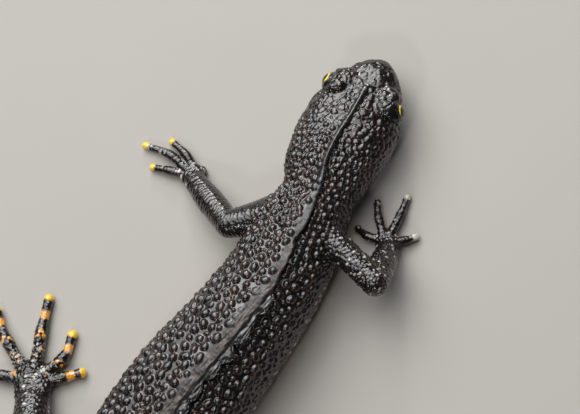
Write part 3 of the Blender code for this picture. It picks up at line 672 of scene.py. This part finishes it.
class Place:
    """Where each point of the skin lies on the animal."""

    def __init__(self, points):
        s = np.interp(points[:, 1], SPINE.points[:, 1], SPINE.along)
        for _ in range(4):
            place, backwards = SPINE.at(s)
            s = s + ((points - place) * backwards)[:, :2].sum(1)
        place, backwards = SPINE.at(s)
        self.s = s
        self.out = ((points - place) * np.cross(backwards, UP)).sum(1)
        self.level = points[:, 2]
        half, widest, back, belly = body_outline(np.clip(s, 0.05, TAIL_END - 0.05))
        upper, lower = squareness(s)
        rise = self.level - widest
        reach = np.where(rise > 0, back - widest, widest - belly)
        power = np.where(rise > 0, upper, lower)
        share = (np.abs(self.out / half) ** power + np.abs(rise / reach) ** power) ** (1 / power)
        self.gap = (share - 1) * np.hypot(self.out, rise) / np.maximum(share, 0.2)
        self.gap += between(SKIN_INSET, 1, s)  # height above the bare body
        self.high = np.clip(rise / reach, -1, 1)  # 1 on the back, -1 under the belly
        self.limb_along = np.zeros(len(points))  # mm from the limb's root
        self.limb_share = np.full(len(points), 2.0)  # 0 at the limb's root, 1 at the palm
        self.limb_away = np.full(len(points), FAR)
        self.limb_way = np.zeros((len(points), 3))  # direction along the limb or digit
        self.toe_left = np.full(len(points), FAR)  # mm to the digit's tip
        self.toe_number = np.zeros(len(points))
        self.toe_away = np.full(len(points), FAR)
        self.hind = np.zeros(len(points), bool)
        self.right = self.out < 0
        for number, (limb_name, limb) in enumerate(LIMBS.items()):
            self.add_limb(points, number, limb_name, limb)

    def add_limb(self, points, number, limb_name, limb):
        path = Path([*limb["joints"], (*limb["palm"], 1.0)])
        low, high = path.points.min(0) - 14, path.points.max(0) + 14
        near = np.flatnonzero(((points > low) & (points < high)).all(1))
        along, away = path.nearest(points[near])
        closest = away < self.limb_away[near]
        closer, along, away = near[closest], along[closest], away[closest]
        self.limb_along[closer] = along
        self.limb_share[closer] = along / path.length
        self.limb_away[closer] = away
        self.limb_way[closer] = path.at(along)[1]
        kind = limb_name.split("_")[1]
        self.hind[closer] = kind == "hind"
        for digit, digit_way in enumerate(limb_digits(limb_name)):
            path = Path(digit_points(digit_way, kind))
            along, away = path.nearest(points[near])
            closest = away < self.toe_away[near]
            found = near[closest]
            self.toe_away[found] = away[closest]
            self.toe_number[found] = number * 5 + digit
            self.toe_left[found] = path.length + DIGIT_RADII[kind][-1] - along[closest]
            on_digit = away[closest] < 1.2
            self.limb_way[found[on_digit]] = path.at(along[closest])[1][on_digit]


def tree_of(points):
    tree = KDTree(len(points))
    for i, place in enumerate(points.tolist()):
        tree.insert(place, i)
    tree.balance()
    return tree


def indices(found):
    return [item[1] for item in found]


def scatter(points, radius, sizes, rng):
    """Random round places that don't overlap: which points they are at, and their radii. The
    largest are placed first."""
    tree = tree_of(points)
    chosen, radii = [], []
    for size in sizes:
        free = np.ones(len(points), bool)
        for i, r in zip(chosen, radii):
            free[indices(tree.find_range(points[i], r + size * radius[i]))] = False
        for i in rng.permutation(len(points)).tolist():
            if free[i]:
                r = size * radius[i]
                chosen.append(i)
                radii.append(r)
                free[indices(tree.find_range(points[i], 2 * r))] = False
    return np.array(chosen), np.array(radii)


class Skin:
    """The skin's points and what varies over them."""

    def __init__(self, points, normals):
        self.points, self.normals = points, normals
        self.rng = np.random.default_rng(SEED)
        self.tree = tree_of(points)
        self.at = at = Place(points)
        self.low = smooth_step(points[:, 2], 0.15, 0.9)  # 0 where it lies on the floor
        near_limb = np.maximum(smooth_step(at.limb_away, 4.2, 3.2), at.toe_away < 2.0)
        self.limb = smooth_step(at.gap, 0.15, 0.8) * near_limb
        on_top = (at.high > 0.35) & (np.abs(at.out) < 4.5) & (at.s > 8) & (at.s < 68)
        on_head = (np.abs(at.out + between(CREST_SECTIONS, 1, at.s)) < 0.8) & (at.high > 0.35)
        on_head &= (at.s > 3) & (at.s <= 8)
        self.beyond_root = -at.out - between(CREST_SECTIONS, 1, at.s)  # mm over the crest, to the right
        of_flap = np.maximum(smooth_step(self.beyond_root, -0.1, 0.3), smooth_step(at.s, 21, 16))
        raised = smooth_step(at.gap, 0.12, 0.36) * of_flap
        self.crest = raised * (on_top | on_head) * (self.limb < 0.5)
        self.fin = smooth_step(at.gap, 0.05, 0.4) * (at.s > 68) * (self.limb < 0.5)
        from_eye = np.linalg.norm(points - side_place(EYE_S, np.sign(at.out) * EYE_OUT, EYE_LEVEL), axis=1)
        self.lid = smooth_step(from_eye, LID_SMOOTH[1], LID_SMOOTH[0]) * (np.abs(at.out) > EYE_OUT - 0.5)
        self.head_top = smooth_step(at.s, 12.5, 8.5) * (at.high > 0) * (1 - self.lid)
        self.belly = smooth_step(at.high, -0.30, -0.55) * (1 - self.limb)
        self.lift = np.zeros(len(points))  # how far each point is raised, mm
        self.wart = np.zeros(len(points))  # 1 on top of a wart, 0 between
        self.stipple = np.zeros(len(points))  # 1 on a whitish granule


def wart_plan(skin):
    """At every point: half the distance between warts, their radius, and their height over it."""
    at = skin.at
    spacing, cover, height = (between(BACK_WARTS, column, at.s) for column in (1, 2, 3))
    flank = smooth_step(at.high, 0.8, 0.1)
    spacing = spacing * (1 - (1 - FLANK_SIZE) * flank)
    cover = cover + (1 - cover) * np.maximum(flank, skin.limb)
    height = height * (1 - BELLY_FLATTER * skin.belly) * (1 - HEAD_FLATTER * skin.head_top)
    along = np.clip(at.limb_share, 0, 1)
    (near_radius, near_height), (far_radius, far_height) = LIMB_WARTS
    spacing = spacing + (near_radius + (far_radius - near_radius) * along - spacing) * skin.limb
    height = height + (near_height + (far_height - near_height) * along - height) * skin.limb
    on_toe = smooth_step(at.toe_left, 8.0, 6.0)
    left_arm = -LEFT_ARM_COARSER * (1 - on_toe)
    finer = np.where(at.hind, 0.0, np.where(at.right, RIGHT_ARM_FINER, left_arm))
    finer = np.maximum(finer, TOE_FINER * smooth_step(at.toe_left, 5.0, 3.5))
    spacing = spacing * (1 - finer * skin.limb)
    taller = RIGHT_ARM_TALLER * (at.right & ~at.hind) - TOE_FLATTER * on_toe
    height = height * (1 + taller * skin.limb)
    smooth = np.maximum.reduce([skin.crest, skin.fin, skin.lid])
    return spacing, spacing * cover, height * (1 - smooth) * skin.low


def pale_chance(skin):
    """How likely a wart is whitish."""
    at = skin.at
    chance = PALE_FLANK * within(at.high, -0.75, -0.4, -0.2, 0.15) * within(at.s, 14, 24, 75, 90)
    chance += PALE_CHEEK * smooth_step(at.high, -0.1, -0.5) * smooth_step(at.s, 22, 14)
    hind = PALE_HIND - (PALE_HIND - PALE_TOES) * smooth_step(at.toe_left, 7.0, 6.0)
    # On the right arm the whitish warts are left out near its root: painted shade where the arm meets the
    # body.
    right_arm = PALE_RIGHT_ARM * smooth_step(at.limb_along, 1.5, 4.5)
    left_arm = PALE_LEFT_HAND * smooth_step(at.limb_share, 0.9, 1.0)
    limb = np.where(at.hind, hind, np.where(at.right, right_arm, left_arm))
    return chance + (limb - chance) * skin.limb


def wart_dome(skin, centre, radius, stretch, across, uneven):
    """The points of a wart and its height there, up to 1. It is longer by stretch square to across."""
    place, normal = skin.points[centre], skin.normals[centre]
    towards = np.cross(normal, across)
    towards /= max(np.linalg.norm(towards), 0.01)
    near = np.array(indices(skin.tree.find_range(place, radius * stretch)))
    away = skin.points[near] - place
    flat = (away**2).sum(1) - (away @ normal) ** 2
    squared = (flat - (1 - stretch**-2) * (away @ towards) ** 2) / radius**2
    return near, np.clip(1 - squared * (1 + uneven[near]), 0, 1) ** WART_ROUNDNESS


def raise_warts(skin):
    """Domes of many sizes all over the skin, some of them whitish. On the left arm they are long,
    and lie round it."""
    spacing, radius, height = wart_plan(skin)
    some = np.flatnonzero((height > 0.03) & (skin.rng.random(len(radius)) < WART_CANDIDATES))
    chosen, gaps = scatter(skin.points[some], spacing[some], WART_SIZES, skin.rng)
    pale = pale_chance(skin)
    uneven = WART_UNEVEN * mottle(skin.points, 0.35, 11.0)
    for centre, gap in zip(some[chosen], gaps * WART_OVERLAP):
        on_limb = skin.limb[centre] > 0.5
        r = gap * radius[centre] / spacing[centre]
        tall = height[centre] * r * skin.rng.uniform(*WART_HEIGHTS)
        long = on_limb and not (skin.at.hind[centre] or skin.at.right[centre])
        stretch = skin.rng.uniform(*(LEFT_ARM_STRETCH if long else STRETCH))
        is_pale = skin.rng.random() < pale[centre]
        across = skin.at.limb_way[centre] if on_limb else skin.rng.normal(size=3)
        near, dome = wart_dome(skin, centre, r, stretch, across, uneven)
        skin.lift[near] = np.maximum(skin.lift[near], tall * dome)
        skin.wart[near] = np.maximum(skin.wart[near], dome)
        if is_pale:
            skin.stipple[near] = np.maximum(skin.stipple[near], smooth_step(dome, 0.5, 0.85))


def raise_head_plates(skin):
    """Low flat plates on top of the head, parted by furrows that come and go."""
    spots = np.flatnonzero(skin.head_top > 0.02)
    points = skin.points[spots]
    chosen, _ = scatter(points, np.full(len(points), PLATE_SPACING / 2), (1.0, 0.7), skin.rng)
    tree = tree_of(points[chosen])
    found = [tree.find_n(place, 2) for place in points.tolist()]
    apart = np.array([second[2] - first[2] for first, second in found])
    broken = smooth_step(mottle(points, 0.9, 3.0), -0.25, 0.25)
    front = smooth_step(skin.at.s[spots], 3.0, 7.0)
    plate = smooth_step(apart, 0.0, FURROW) * skin.head_top[spots] * (1 - skin.crest[spots])
    past_tip = smooth_step(skin.at.s[spots], 0.0, 1.5)
    depth = PLATE_HEIGHT * (0.45 + 0.55 * broken) * (0.5 + 0.5 * front) * past_tip
    skin.lift[spots] = np.maximum(skin.lift[spots], depth * plate)
    skin.lift[spots] += HEAD_UNEVEN * past_tip * skin.head_top[spots] * mottle(points, 1.1, 8.0)


def press_pits(skin):
    """Small pits on the snout and the head's top."""
    spots = np.flatnonzero(skin.head_top * (1 - skin.crest) > 0.3)
    points = skin.points[spots]
    chosen, _ = scatter(points, np.full(len(points), PIT_SPACING), (1.0, 0.7), skin.rng)
    for centre in spots[chosen]:
        near = np.array(indices(skin.tree.find_range(skin.points[centre], PIT_RADIUS)))
        squared = ((skin.points[near] - skin.points[centre]) ** 2).sum(1) / PIT_RADIUS**2
        skin.lift[near] -= PIT_DEPTH * skin.rng.uniform(0.4, 1.0) * (1 - squared)


def open_eyes(skin):
    """The opening between the lids: the skin dives behind the eyeball there, inside a thick rim."""
    for side in (1, -1):
        centre = side_place(EYE_S, side * EYE_OUT, EYE_LEVEL)
        outwards, along, up = eye_axes(side)
        near = np.array(indices(skin.tree.find_range(centre, LID_REACH)))
        away = skin.points[near] + skin.normals[near] * skin.lift[near, None] - centre
        distance = np.linalg.norm(away, axis=1)
        forwards = away @ outwards
        long = np.degrees(np.arctan2(np.abs(away @ along), forwards)) / OPENING_LONG
        tall = np.degrees(np.arctan2(np.abs(away @ up), forwards)) / OPENING_TALL
        edge = np.hypot(long, tall)  # 1 along the opening's edge
        inside = smooth_step(edge, 1.06, 0.94)
        rim = smooth_step(edge, 1.5, 1.1)
        wanted = np.maximum(distance, EYE_RADIUS + LID_RIM * rim)
        wanted = wanted + (EYE_RADIUS - OPENING_SINK - wanted) * inside
        move = away * ((wanted - distance) / distance)[:, None] * (edge < 1.5)[:, None]
        skin.points[near] += move
        skin.lid[near] = np.maximum(skin.lid[near], rim * (forwards > 0))


def eye_axes(side):
    """Outwards through the pupil, along the head and up, for the eye on this side. Along is
    forwards for the left eye and backwards for the right."""
    backwards = SPINE.at(EYE_S)[1]
    left = np.cross(backwards, UP) * side
    up_angle, ahead_angle = (math.radians(angle) for angle in EYE_AXES[side])
    flat = left * math.cos(ahead_angle) - backwards * math.sin(ahead_angle)
    outwards = flat * math.cos(up_angle) + UP * math.sin(up_angle)
    along = np.cross(outwards, UP)
    along /= np.linalg.norm(along)
    return outwards, along, np.cross(along, outwards)


def groove(distance, width, depth):
    """Height of the skin, below 0, at this distance from a crease's middle."""
    return -depth * np.exp(-((distance / width) ** 2))


def waves(along, length):
    """From 1 to 0 and back over this length."""
    return 0.5 + 0.5 * np.cos(2 * math.pi * along / length)


def press_creases(skin):
    """Mouth, nostrils, throat folds, grooves between the ribs and creases at the joints."""
    at = skin.at
    mouth = groove(at.level - between(MOUTH_LEVELS, 1, at.s), *MOUTH_CREASE)
    on_mouth = (at.s < JAW_CORNER + 0.5) & (skin.lid < 0.5) & (skin.limb < 0.5)
    skin.lift += mouth * on_mouth * smooth_step(at.s, JAW_CORNER + 0.5, JAW_CORNER - 0.5)
    for side in (1, -1):
        nostril = side_place(NOSTRIL[0], side * NOSTRIL[1], NOSTRIL[2])
        where = skin.points[skin.tree.find(nostril)[1]]
        distance = np.linalg.norm(skin.points - where, axis=1)
        skin.lift += groove(distance, *NOSTRIL_HOLE) - groove(distance, *NOSTRIL_RIM)
    behind = at.s - THROAT_FOLD_S
    throat = groove(behind, *THROAT_FOLD) + groove(behind + FRONT_FOLD_AHEAD, *FRONT_FOLD)
    skin.lift += throat * smooth_step(at.high, 0.15, -0.35) * (1 - skin.limb)
    flank = within(at.s, 28, 32, 60, 64) * smooth_step(np.abs(at.high), 0.75, 0.3)
    skin.lift -= FLANK_GROOVES[1] * flank * waves(at.s, FLANK_GROOVES[0]) * (1 - skin.limb)
    bends = smooth_step(np.abs(at.limb_share - 0.9), 0.14, 0.04)
    skin.lift -= JOINT_CREASES[1] * bends * waves(at.limb_along, JOINT_CREASES[0]) * skin.limb


def wrinkle_crest(skin):
    """The thinner, ruffled edge of the crest's flap, and fine wrinkles on the crest and fins: along
    them behind the front lobe, and mostly across them on it."""
    at = skin.at
    flap = skin.crest * within(at.s, *FLAP) * (skin.normals[:, 2] > 0.1)
    skin.lift -= FLAP_STEP * smooth_step(skin.beyond_root, 1.45, 2.0) * flap
    phase = 2 * math.pi * at.s / RUFFLE_LENGTH + 2.0 * mottle(skin.points, 1.5, 14.0)
    ruffle = 0.5 + 0.5 * np.sin(phase)
    skin.lift += RUFFLE_HEIGHT * ruffle * flap * smooth_step(skin.beyond_root, 1.8, 2.3)
    rough = np.maximum(skin.crest * (0.25 + 0.75 * smooth_step(skin.beyond_root, 0.0, 0.5)), skin.fin)
    blades = np.flatnonzero((rough > 0.1) & (at.s > 16))
    s, out, level = at.s[blades], at.out[blades], at.level[blades]
    lengthwise = mottle(np.stack([s / 1.3, out / 0.2, level / 0.2], axis=1), 1.0)
    crosswise = mottle(np.stack([s / 0.3, out / 2.0, level / 2.0], axis=1), 1.0, 9.0)
    front = smooth_step(s, 27, 25)
    wrinkles = (0.11 - 0.09 * front) * lengthwise + (0.02 + 0.04 * front) * crosswise
    wrinkles += 0.045 * mottle(skin.points[blades], 0.42, 3.0)
    skin.lift[blades] += wrinkles * rough[blades]


def filleted(points, edges, normals):
    """Rounds out the sharp hollows where two shapes meet."""
    towards = relaxed(points, edges, 1.0, 1) - points
    hollow = smooth_step((towards * normals).sum(1), *HOLLOW)[:, None]
    spread = np.clip(relaxed(np.repeat(hollow, 3, axis=1), edges, 1.0, FILLET_SPREAD)[:, :1] * 5, 0, 1)
    return relaxed(points, edges, 0.5 * spread, FILLET_ROUNDS)


def write_marks(mesh, marks):
    for name, values in marks.items():
        layer = mesh.attributes.new(name, "FLOAT", "POINT")
        layer.data.foreach_set("value", np.asarray(values, np.float32))


def toe_marks(skin):
    """On the toes: yellow tips, orange bands and undersides, and pale tips and specks."""
    at = skin.at
    left = at.toe_left + 0.12 * np.sin(at.toe_number * 2.1) + 0.1 * mottle(skin.points, 0.5, 20.0)
    on_toe = smooth_step(at.toe_away, 1.9, 1.4) * skin.limb
    limb, digit = at.toe_number // 5, at.toe_number % 5
    tip = smooth_step(left, TOE_TIP + 0.1, TOE_TIP - 0.1) * on_toe
    pale_tip = tip * (limb == 1) * (digit > 1)
    # No yellow on the right hand's tips nor on the left hand's first digit. On the right hand's first
    # digit, under the body, the tip is left dark as painted shade.
    tip = tip * (limb != 1) * ((limb != 0) | (digit != 0))
    shift = 0.35 * np.sin(at.toe_number * 1.7)
    speckle = mottle(skin.points, 0.6, 30.0)
    bands = np.zeros(len(left))
    for middle, half, sparseness in TOE_BANDS:
        band = smooth_step(np.abs(left - middle - shift), half + 0.2, half - 0.2)
        bands = np.maximum(bands, band * smooth_step(speckle, sparseness, sparseness + 0.15))
    bands *= at.hind * ((digit != 0) | (left < 4.0))
    near = within(at.toe_left, *TOE_SPECKS) * at.hind * (digit % 4 != 0)
    specks = np.maximum(bands, near) * smooth_step(mottle(skin.points, 0.3, 40.0), 0.16, 0.30)
    under = 0.9 * smooth_step(at.level, 0.45, 0.25) * (left < 7)
    return tip, np.maximum(bands, under) * on_toe, np.maximum(pale_tip, specks * on_toe)


def unwrap(obj):
    """The skin's map OFBake, laid out on its smooth shape."""
    obj.data.uv_layers.new(name="OFBake")
    bpy.context.view_layer.objects.active = obj
    obj.select_set(True)
    bpy.ops.object.mode_set(mode="EDIT")
    bpy.ops.mesh.select_all(action="SELECT")
    bpy.ops.uv.smart_project(angle_limit=math.radians(66), island_margin=0.002)
    bpy.ops.object.mode_set(mode="OBJECT")


class Looks:
    """Short calls for building a material from nodes. A value may be a number or a socket."""

    def __init__(self, name):
        self.material = bpy.data.materials.new(name)
        self.material.use_nodes = True
        self.tree = self.material.node_tree
        self.shader = self.tree.nodes["Principled BSDF"]

    def put(self, socket, value):
        if isinstance(value, bpy.types.NodeSocket):
            self.tree.links.new(value, socket)
        else:
            socket.default_value = value

    def node(self, kind, inputs, **settings):
        made = self.tree.nodes.new(kind)
        for name, value in settings.items():
            setattr(made, name, value)
        for key, value in inputs.items():
            self.put(made.inputs[key], value)
        return made

    def mark(self, name):
        return self.node("ShaderNodeAttribute", {}, attribute_name=name).outputs["Fac"]

    def noise(self, size, detail, shift=0.0):
        """Noise from 0 to 1 that changes over this size in mm."""
        places = self.node("ShaderNodeTexCoord", {}).outputs["Object"]
        scale, location = (1 / (size * MM),) * 3, (shift,) * 3
        moved = self.node("ShaderNodeMapping", {"Vector": places, "Scale": scale, "Location": location})
        made = self.node("ShaderNodeTexNoise", {"Vector": moved.outputs[0], "Scale": 1.0, "Detail": detail})
        return made.outputs["Fac"]

    def step(self, value, low, high):
        inputs = {"Value": value, "From Min": low, "From Max": high}
        return self.node("ShaderNodeMapRange", inputs, interpolation_type="SMOOTHSTEP").outputs["Result"]

    def spread(self, value, low, high):
        """From low where the value is 0 to high where it is 1."""
        inputs = {"Value": value, "To Min": low, "To Max": high}
        return self.node("ShaderNodeMapRange", inputs).outputs["Result"]

    def sum(self, operation, first, second):
        return self.node("ShaderNodeMath", {0: first, 1: second}, operation=operation).outputs[0]

    def times(self, first, second):
        return self.sum("MULTIPLY", first, second)

    def blend(self, share, first, second):
        """Colour first where share is 0, second where it is 1."""
        made = self.node("ShaderNodeMix", {0: share, 6: first, 7: second}, data_type="RGBA")
        return made.outputs[2]

    def bump(self, height, distance):
        inputs = {"Height": height, "Distance": distance * MM, "Strength": 1.0}
        return self.node("ShaderNodeBump", inputs).outputs["Normal"]

    def surface(self, values):
        """The finished material, with these values on its shader."""
        for name, value in values.items():
            self.put(self.shader.inputs[name], value)
        return self.material


def colour(red, green, blue):
    return (red, green, blue, 1.0)


BLACK = colour(0.0045, 0.0038, 0.0036)
BROWN = colour(0.048, 0.019, 0.009)
# Painted shade: the skin between the warts is made darker than the warts themselves.
PAINTED_VALLEY_SHADE = colour(0.0022, 0.0017, 0.0015)
CREST_SKIN = colour(0.012, 0.011, 0.011)
CREST_RUST = colour(0.060, 0.032, 0.018)
CREAM = colour(0.50, 0.48, 0.40)
ORANGE = colour(0.78, 0.30, 0.006)
YELLOW = colour(0.85, 0.50, 0.03)
PEARL = colour(0.24, 0.29, 0.33)
PUPIL_BLACK = colour(0.002, 0.002, 0.002)
IRIS_BLACK = colour(0.006, 0.007, 0.007)
IRIS_FLECK = colour(0.30, 0.15, 0.01)
DULL_GOLD = colour(0.55, 0.30, 0.02)
GOLD_LEAF = colour(0.95, 0.70, 0.07)
EYE_BACK = colour(0.012, 0.009, 0.008)


def skin_material():
    looks = Looks("newt_skin")
    wart = looks.mark("wart")
    patches = looks.step(looks.noise(2.2, 3), 0.35, 0.65)
    fine = looks.noise(0.25, 3, shift=4.0)
    side = looks.times(looks.step(wart, 0.0, 0.35), looks.step(wart, 0.9, 0.55))
    brown = looks.times(looks.times(side, patches), looks.mark("brown"))
    rust = looks.times(looks.mark("rust"), looks.step(fine, 0.42, 0.62))
    blotches = looks.step(looks.noise(3.4, 2, shift=7.0), 0.50, 0.56)
    stipple = looks.times(looks.mark("stipple"), looks.step(fine, 0.25, 0.5))
    # Painted shade in the hollows between the warts, darker than their tops.
    shade = looks.blend(looks.step(wart, 0.0, 0.3), PAINTED_VALLEY_SHADE, BLACK)
    for share, layer in (
        (brown, BROWN),
        (looks.mark("crest"), looks.blend(rust, CREST_SKIN, CREST_RUST)),
        (looks.mark("belly"), looks.blend(blotches, ORANGE, BLACK)),
        (looks.mark("stripe"), PEARL),
        (stipple, CREAM),
        (looks.mark("orange"), ORANGE),
        (looks.mark("speck"), CREAM),
        (looks.mark("yellow"), YELLOW),
    ):
        shade = looks.blend(share, shade, layer)
    matte = looks.mark("matte")
    wet = looks.spread(looks.noise(0.8, 3, shift=2.0), 0.14, 0.34)
    return looks.surface({
        "Base Color": shade,
        "Roughness": looks.sum("ADD", wet, looks.times(matte, 0.16)),
        "Coat Weight": looks.sum("SUBTRACT", 0.6, looks.times(matte, 0.45)),
        "Coat Roughness": 0.09,
        "Normal": looks.bump(looks.noise(0.14, 2, shift=1.0), 0.012),
    })


def eye_material():
    """A black pupil, a gold ring with painted light that makes it bright only near its top, and a dark iris
    with flecks.
    """
    looks = Looks("newt_eye")
    angle = looks.mark("from_pupil")
    streaks = looks.noise(0.16, 3, shift=3.0)
    flecks = looks.times(looks.step(streaks, 0.50, 0.66), 0.30)
    gold = looks.blend(looks.step(streaks, 0.32, 0.50), DULL_GOLD, GOLD_LEAF)
    # Painted light: the gold is bright near the ring's top and dull elsewhere, as if lit from above.
    bright = looks.sum("ADD", 0.15, looks.times(looks.step(looks.mark("gold_painted_light"), 0.30, 0.80), 0.85))
    ring = looks.times(looks.step(angle, GOLD + 0.03, GOLD - 0.03), bright)
    shade = looks.blend(ring, looks.blend(flecks, IRIS_BLACK, IRIS_FLECK), gold)
    shade = looks.blend(looks.step(angle, PUPIL - 0.02, PUPIL + 0.02), PUPIL_BLACK, shade)
    shade = looks.blend(looks.step(angle, IRIS - 0.06, IRIS + 0.03), shade, EYE_BACK)
    return looks.surface({
        "Base Color": shade,
        "Roughness": looks.spread(streaks, 0.16, 0.30),
        "Specular IOR Level": 0.3,
        "Coat Weight": 0.6,
        "Coat Roughness": 0.02,
    })


def floor_material():
    looks = Looks("pale_floor")
    shade = looks.blend(looks.noise(40, 4), FLOOR_COLOUR, FLOOR_SHADE)
    return looks.surface({"Base Color": shade, "Roughness": 0.8})


def to_frame(mesh, offset):
    """From the plan's millimetres to the frame's metres."""
    mesh.transform(Matrix.Scale(MM, 4) @ Matrix.Translation(offset))
    mesh.shade_smooth()


def make_eye(word, side, offset, material):
    """An eyeball with a slightly raised cornea, its pole at the pupil."""
    outwards, along, up = eye_axes(side)
    angle = np.linspace(0.02, math.pi - 0.02, EYE_RINGS)[:, None]
    turn = np.linspace(0, 2 * math.pi, EYE_SIDES, endpoint=False)[None]
    ring = along * np.cos(turn)[..., None] + up * np.sin(turn)[..., None]
    radius = EYE_RADIUS - CORNEA_BULGE + CORNEA_BULGE * smooth_step(angle, 0.9, 0.3)
    shape = (outwards * np.cos(angle)[..., None] + ring * np.sin(angle)[..., None]) * radius[..., None]
    form = Form()
    form.loft(shape + side_place(EYE_S, side * EYE_OUT, EYE_LEVEL))
    obj = new_mesh_object(f"newt_eye_{word}", form.points[0], form.faces)
    # Painted light on the gold ring, strongest a little ahead of its top.
    gold_painted_light = np.tile(np.sin(turn[0] + side * math.radians(GOLD_AHEAD)), EYE_RINGS)
    write_marks(obj.data, {"from_pupil": np.repeat(angle[:, 0], EYE_SIDES), "gold_painted_light": gold_painted_light})
    to_frame(obj.data, offset)
    obj.data.materials.append(material)
    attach(obj, "root")
    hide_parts(f"eye_{word}")


def skin_marks(skin):
    """What the skin's material reads at each point, from 0 to 1."""
    at = skin.at
    yellow, orange, specks = toe_marks(skin)
    band = within(skin.beyond_root, 0.3, 0.6, 1.4, 1.8)
    stripe = 0.8 * smooth_step(np.abs(at.high), 0.35, 0.1) * smooth_step(at.s, 72, 80) * (1 - skin.fin)
    return {
        "wart": skin.wart,
        "brown": 0.85 * (1 - 0.5 * skin.head_top) * (1 - 0.75 * skin.limb),
        "crest": np.maximum(skin.crest, skin.fin),
        "rust": band * (at.high > 0.3) * within(at.s, 25, 27, 62, 66),
        "belly": skin.belly * within(at.s, 19, 22, 67, 71) * (1 - skin.fin),
        "stripe": stripe * smooth_step(mottle(skin.points, 1.2, 5.0), -0.4, 0.1),
        "stipple": skin.stipple,
        "speck": specks,
        "matte": skin.crest * smooth_step(at.s, 17, 22) * smooth_step(skin.beyond_root, 2.0, 1.6),
        "orange": orange,
        "yellow": yellow,
    }


def make_skin(offset):
    obj = merged_skin()
    mesh = obj.data
    edges = np.empty(len(mesh.edges) * 2, np.int32)
    mesh.edges.foreach_get("vertices", edges)
    edges = edges.reshape(-1, 2)
    points = relaxed(read_points(mesh), edges, 0.5, SMOOTHING)
    write_points(mesh, points)
    points = filleted(points, edges, read_normals(mesh))
    write_points(mesh, points)
    unwrap(obj)
    skin = Skin(points, read_normals(mesh))
    raise_warts(skin)
    raise_head_plates(skin)
    press_pits(skin)
    press_creases(skin)
    wrinkle_crest(skin)
    open_eyes(skin)
    # Near the floor the skin is raised in full and pressed in less.
    lift = skin.lift * (skin.low + (1 - skin.low) * (skin.lift > 0))
    points = relaxed(skin.points + skin.normals * lift[:, None], edges, 0.25, 1)
    points[:, 2] = np.maximum(points[:, 2], 0)
    write_points(mesh, points)
    write_marks(mesh, skin_marks(skin))
    to_frame(mesh, offset)
    mesh.materials.clear()
    mesh.materials.append(skin_material())
    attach(obj, "root")
    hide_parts(*(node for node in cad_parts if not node.startswith("eye")))


def add_camera(offset):
    """The photograph's view: from above, a little to the animal's right."""
    tilt, turn = math.radians(VIEW_TILT), math.radians(VIEW_TURN)
    forwards = Vector((0, -1, 0))
    sideways = Vector((-math.cos(tilt), 0, -math.sin(tilt)))
    up = forwards * math.cos(turn) - sideways * math.sin(turn)
    right = forwards * math.sin(turn) + sideways * math.cos(turn)
    towards_camera = right.cross(up)
    data = bpy.data.cameras.new("camera")
    data.sensor_width = SENSOR
    data.lens = SENSOR * VIEW_DISTANCE / VIEW_WIDTH
    data.clip_start = 0.01
    camera = add_object("camera", data)
    placed = Matrix((right, up, towards_camera)).transposed().to_4x4()
    placed.translation = (Vector(VIEW_TARGET) + offset) * MM + towards_camera * VIEW_DISTANCE
    camera.matrix_world = placed
    bpy.context.scene.camera = camera


def add_lamp(name, towards, distance, radius, radiance):
    """A round lamp; towards is the direction from the animal to it."""
    data = bpy.data.lights.new(name, "AREA")
    data.shape = "DISK"
    data.size = 2 * radius
    data.energy = radiance * math.pi**2 * radius**2
    lamp = add_object(name, data)
    direction = Vector(towards).normalized()
    lamp.location = direction * distance
    lamp.rotation_euler = direction.to_track_quat("Z", "Y").to_euler()


def add_studio():
    bpy.context.scene.view_settings.view_transform = "Standard"
    world = bpy.data.worlds.new("studio")
    bpy.context.scene.world = world
    world.use_nodes = True
    sky = world.node_tree.nodes["Background"]
    sky.inputs["Color"].default_value = WORLD_COLOUR
    sky.inputs["Strength"].default_value = WORLD_STRENGTH
    for lamp in LAMPS:
        add_lamp(*lamp)
    half = FLOOR_SIZE / 2
    corners = [(-half, -half, 0), (half, -half, 0), (half, half, 0), (-half, half, 0)]
    floor = new_mesh_object("floor", corners, [(0, 1, 2, 3)])
    floor.data.materials.append(floor_material())


def plan_offset():
    """From the plan to the frame, in mm: the left eye's place is known in both."""
    low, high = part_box("eye_left")
    return (low + high) / 2 / MM - Vector(side_place(EYE_S, EYE_OUT, EYE_LEVEL))


def main():
    offset = plan_offset()
    make_skin(offset)
    material = eye_material()
    for word, side in (("left", 1), ("right", -1)):
        make_eye(word, side, offset, material)
    add_camera(offset)
    add_studio()


main()
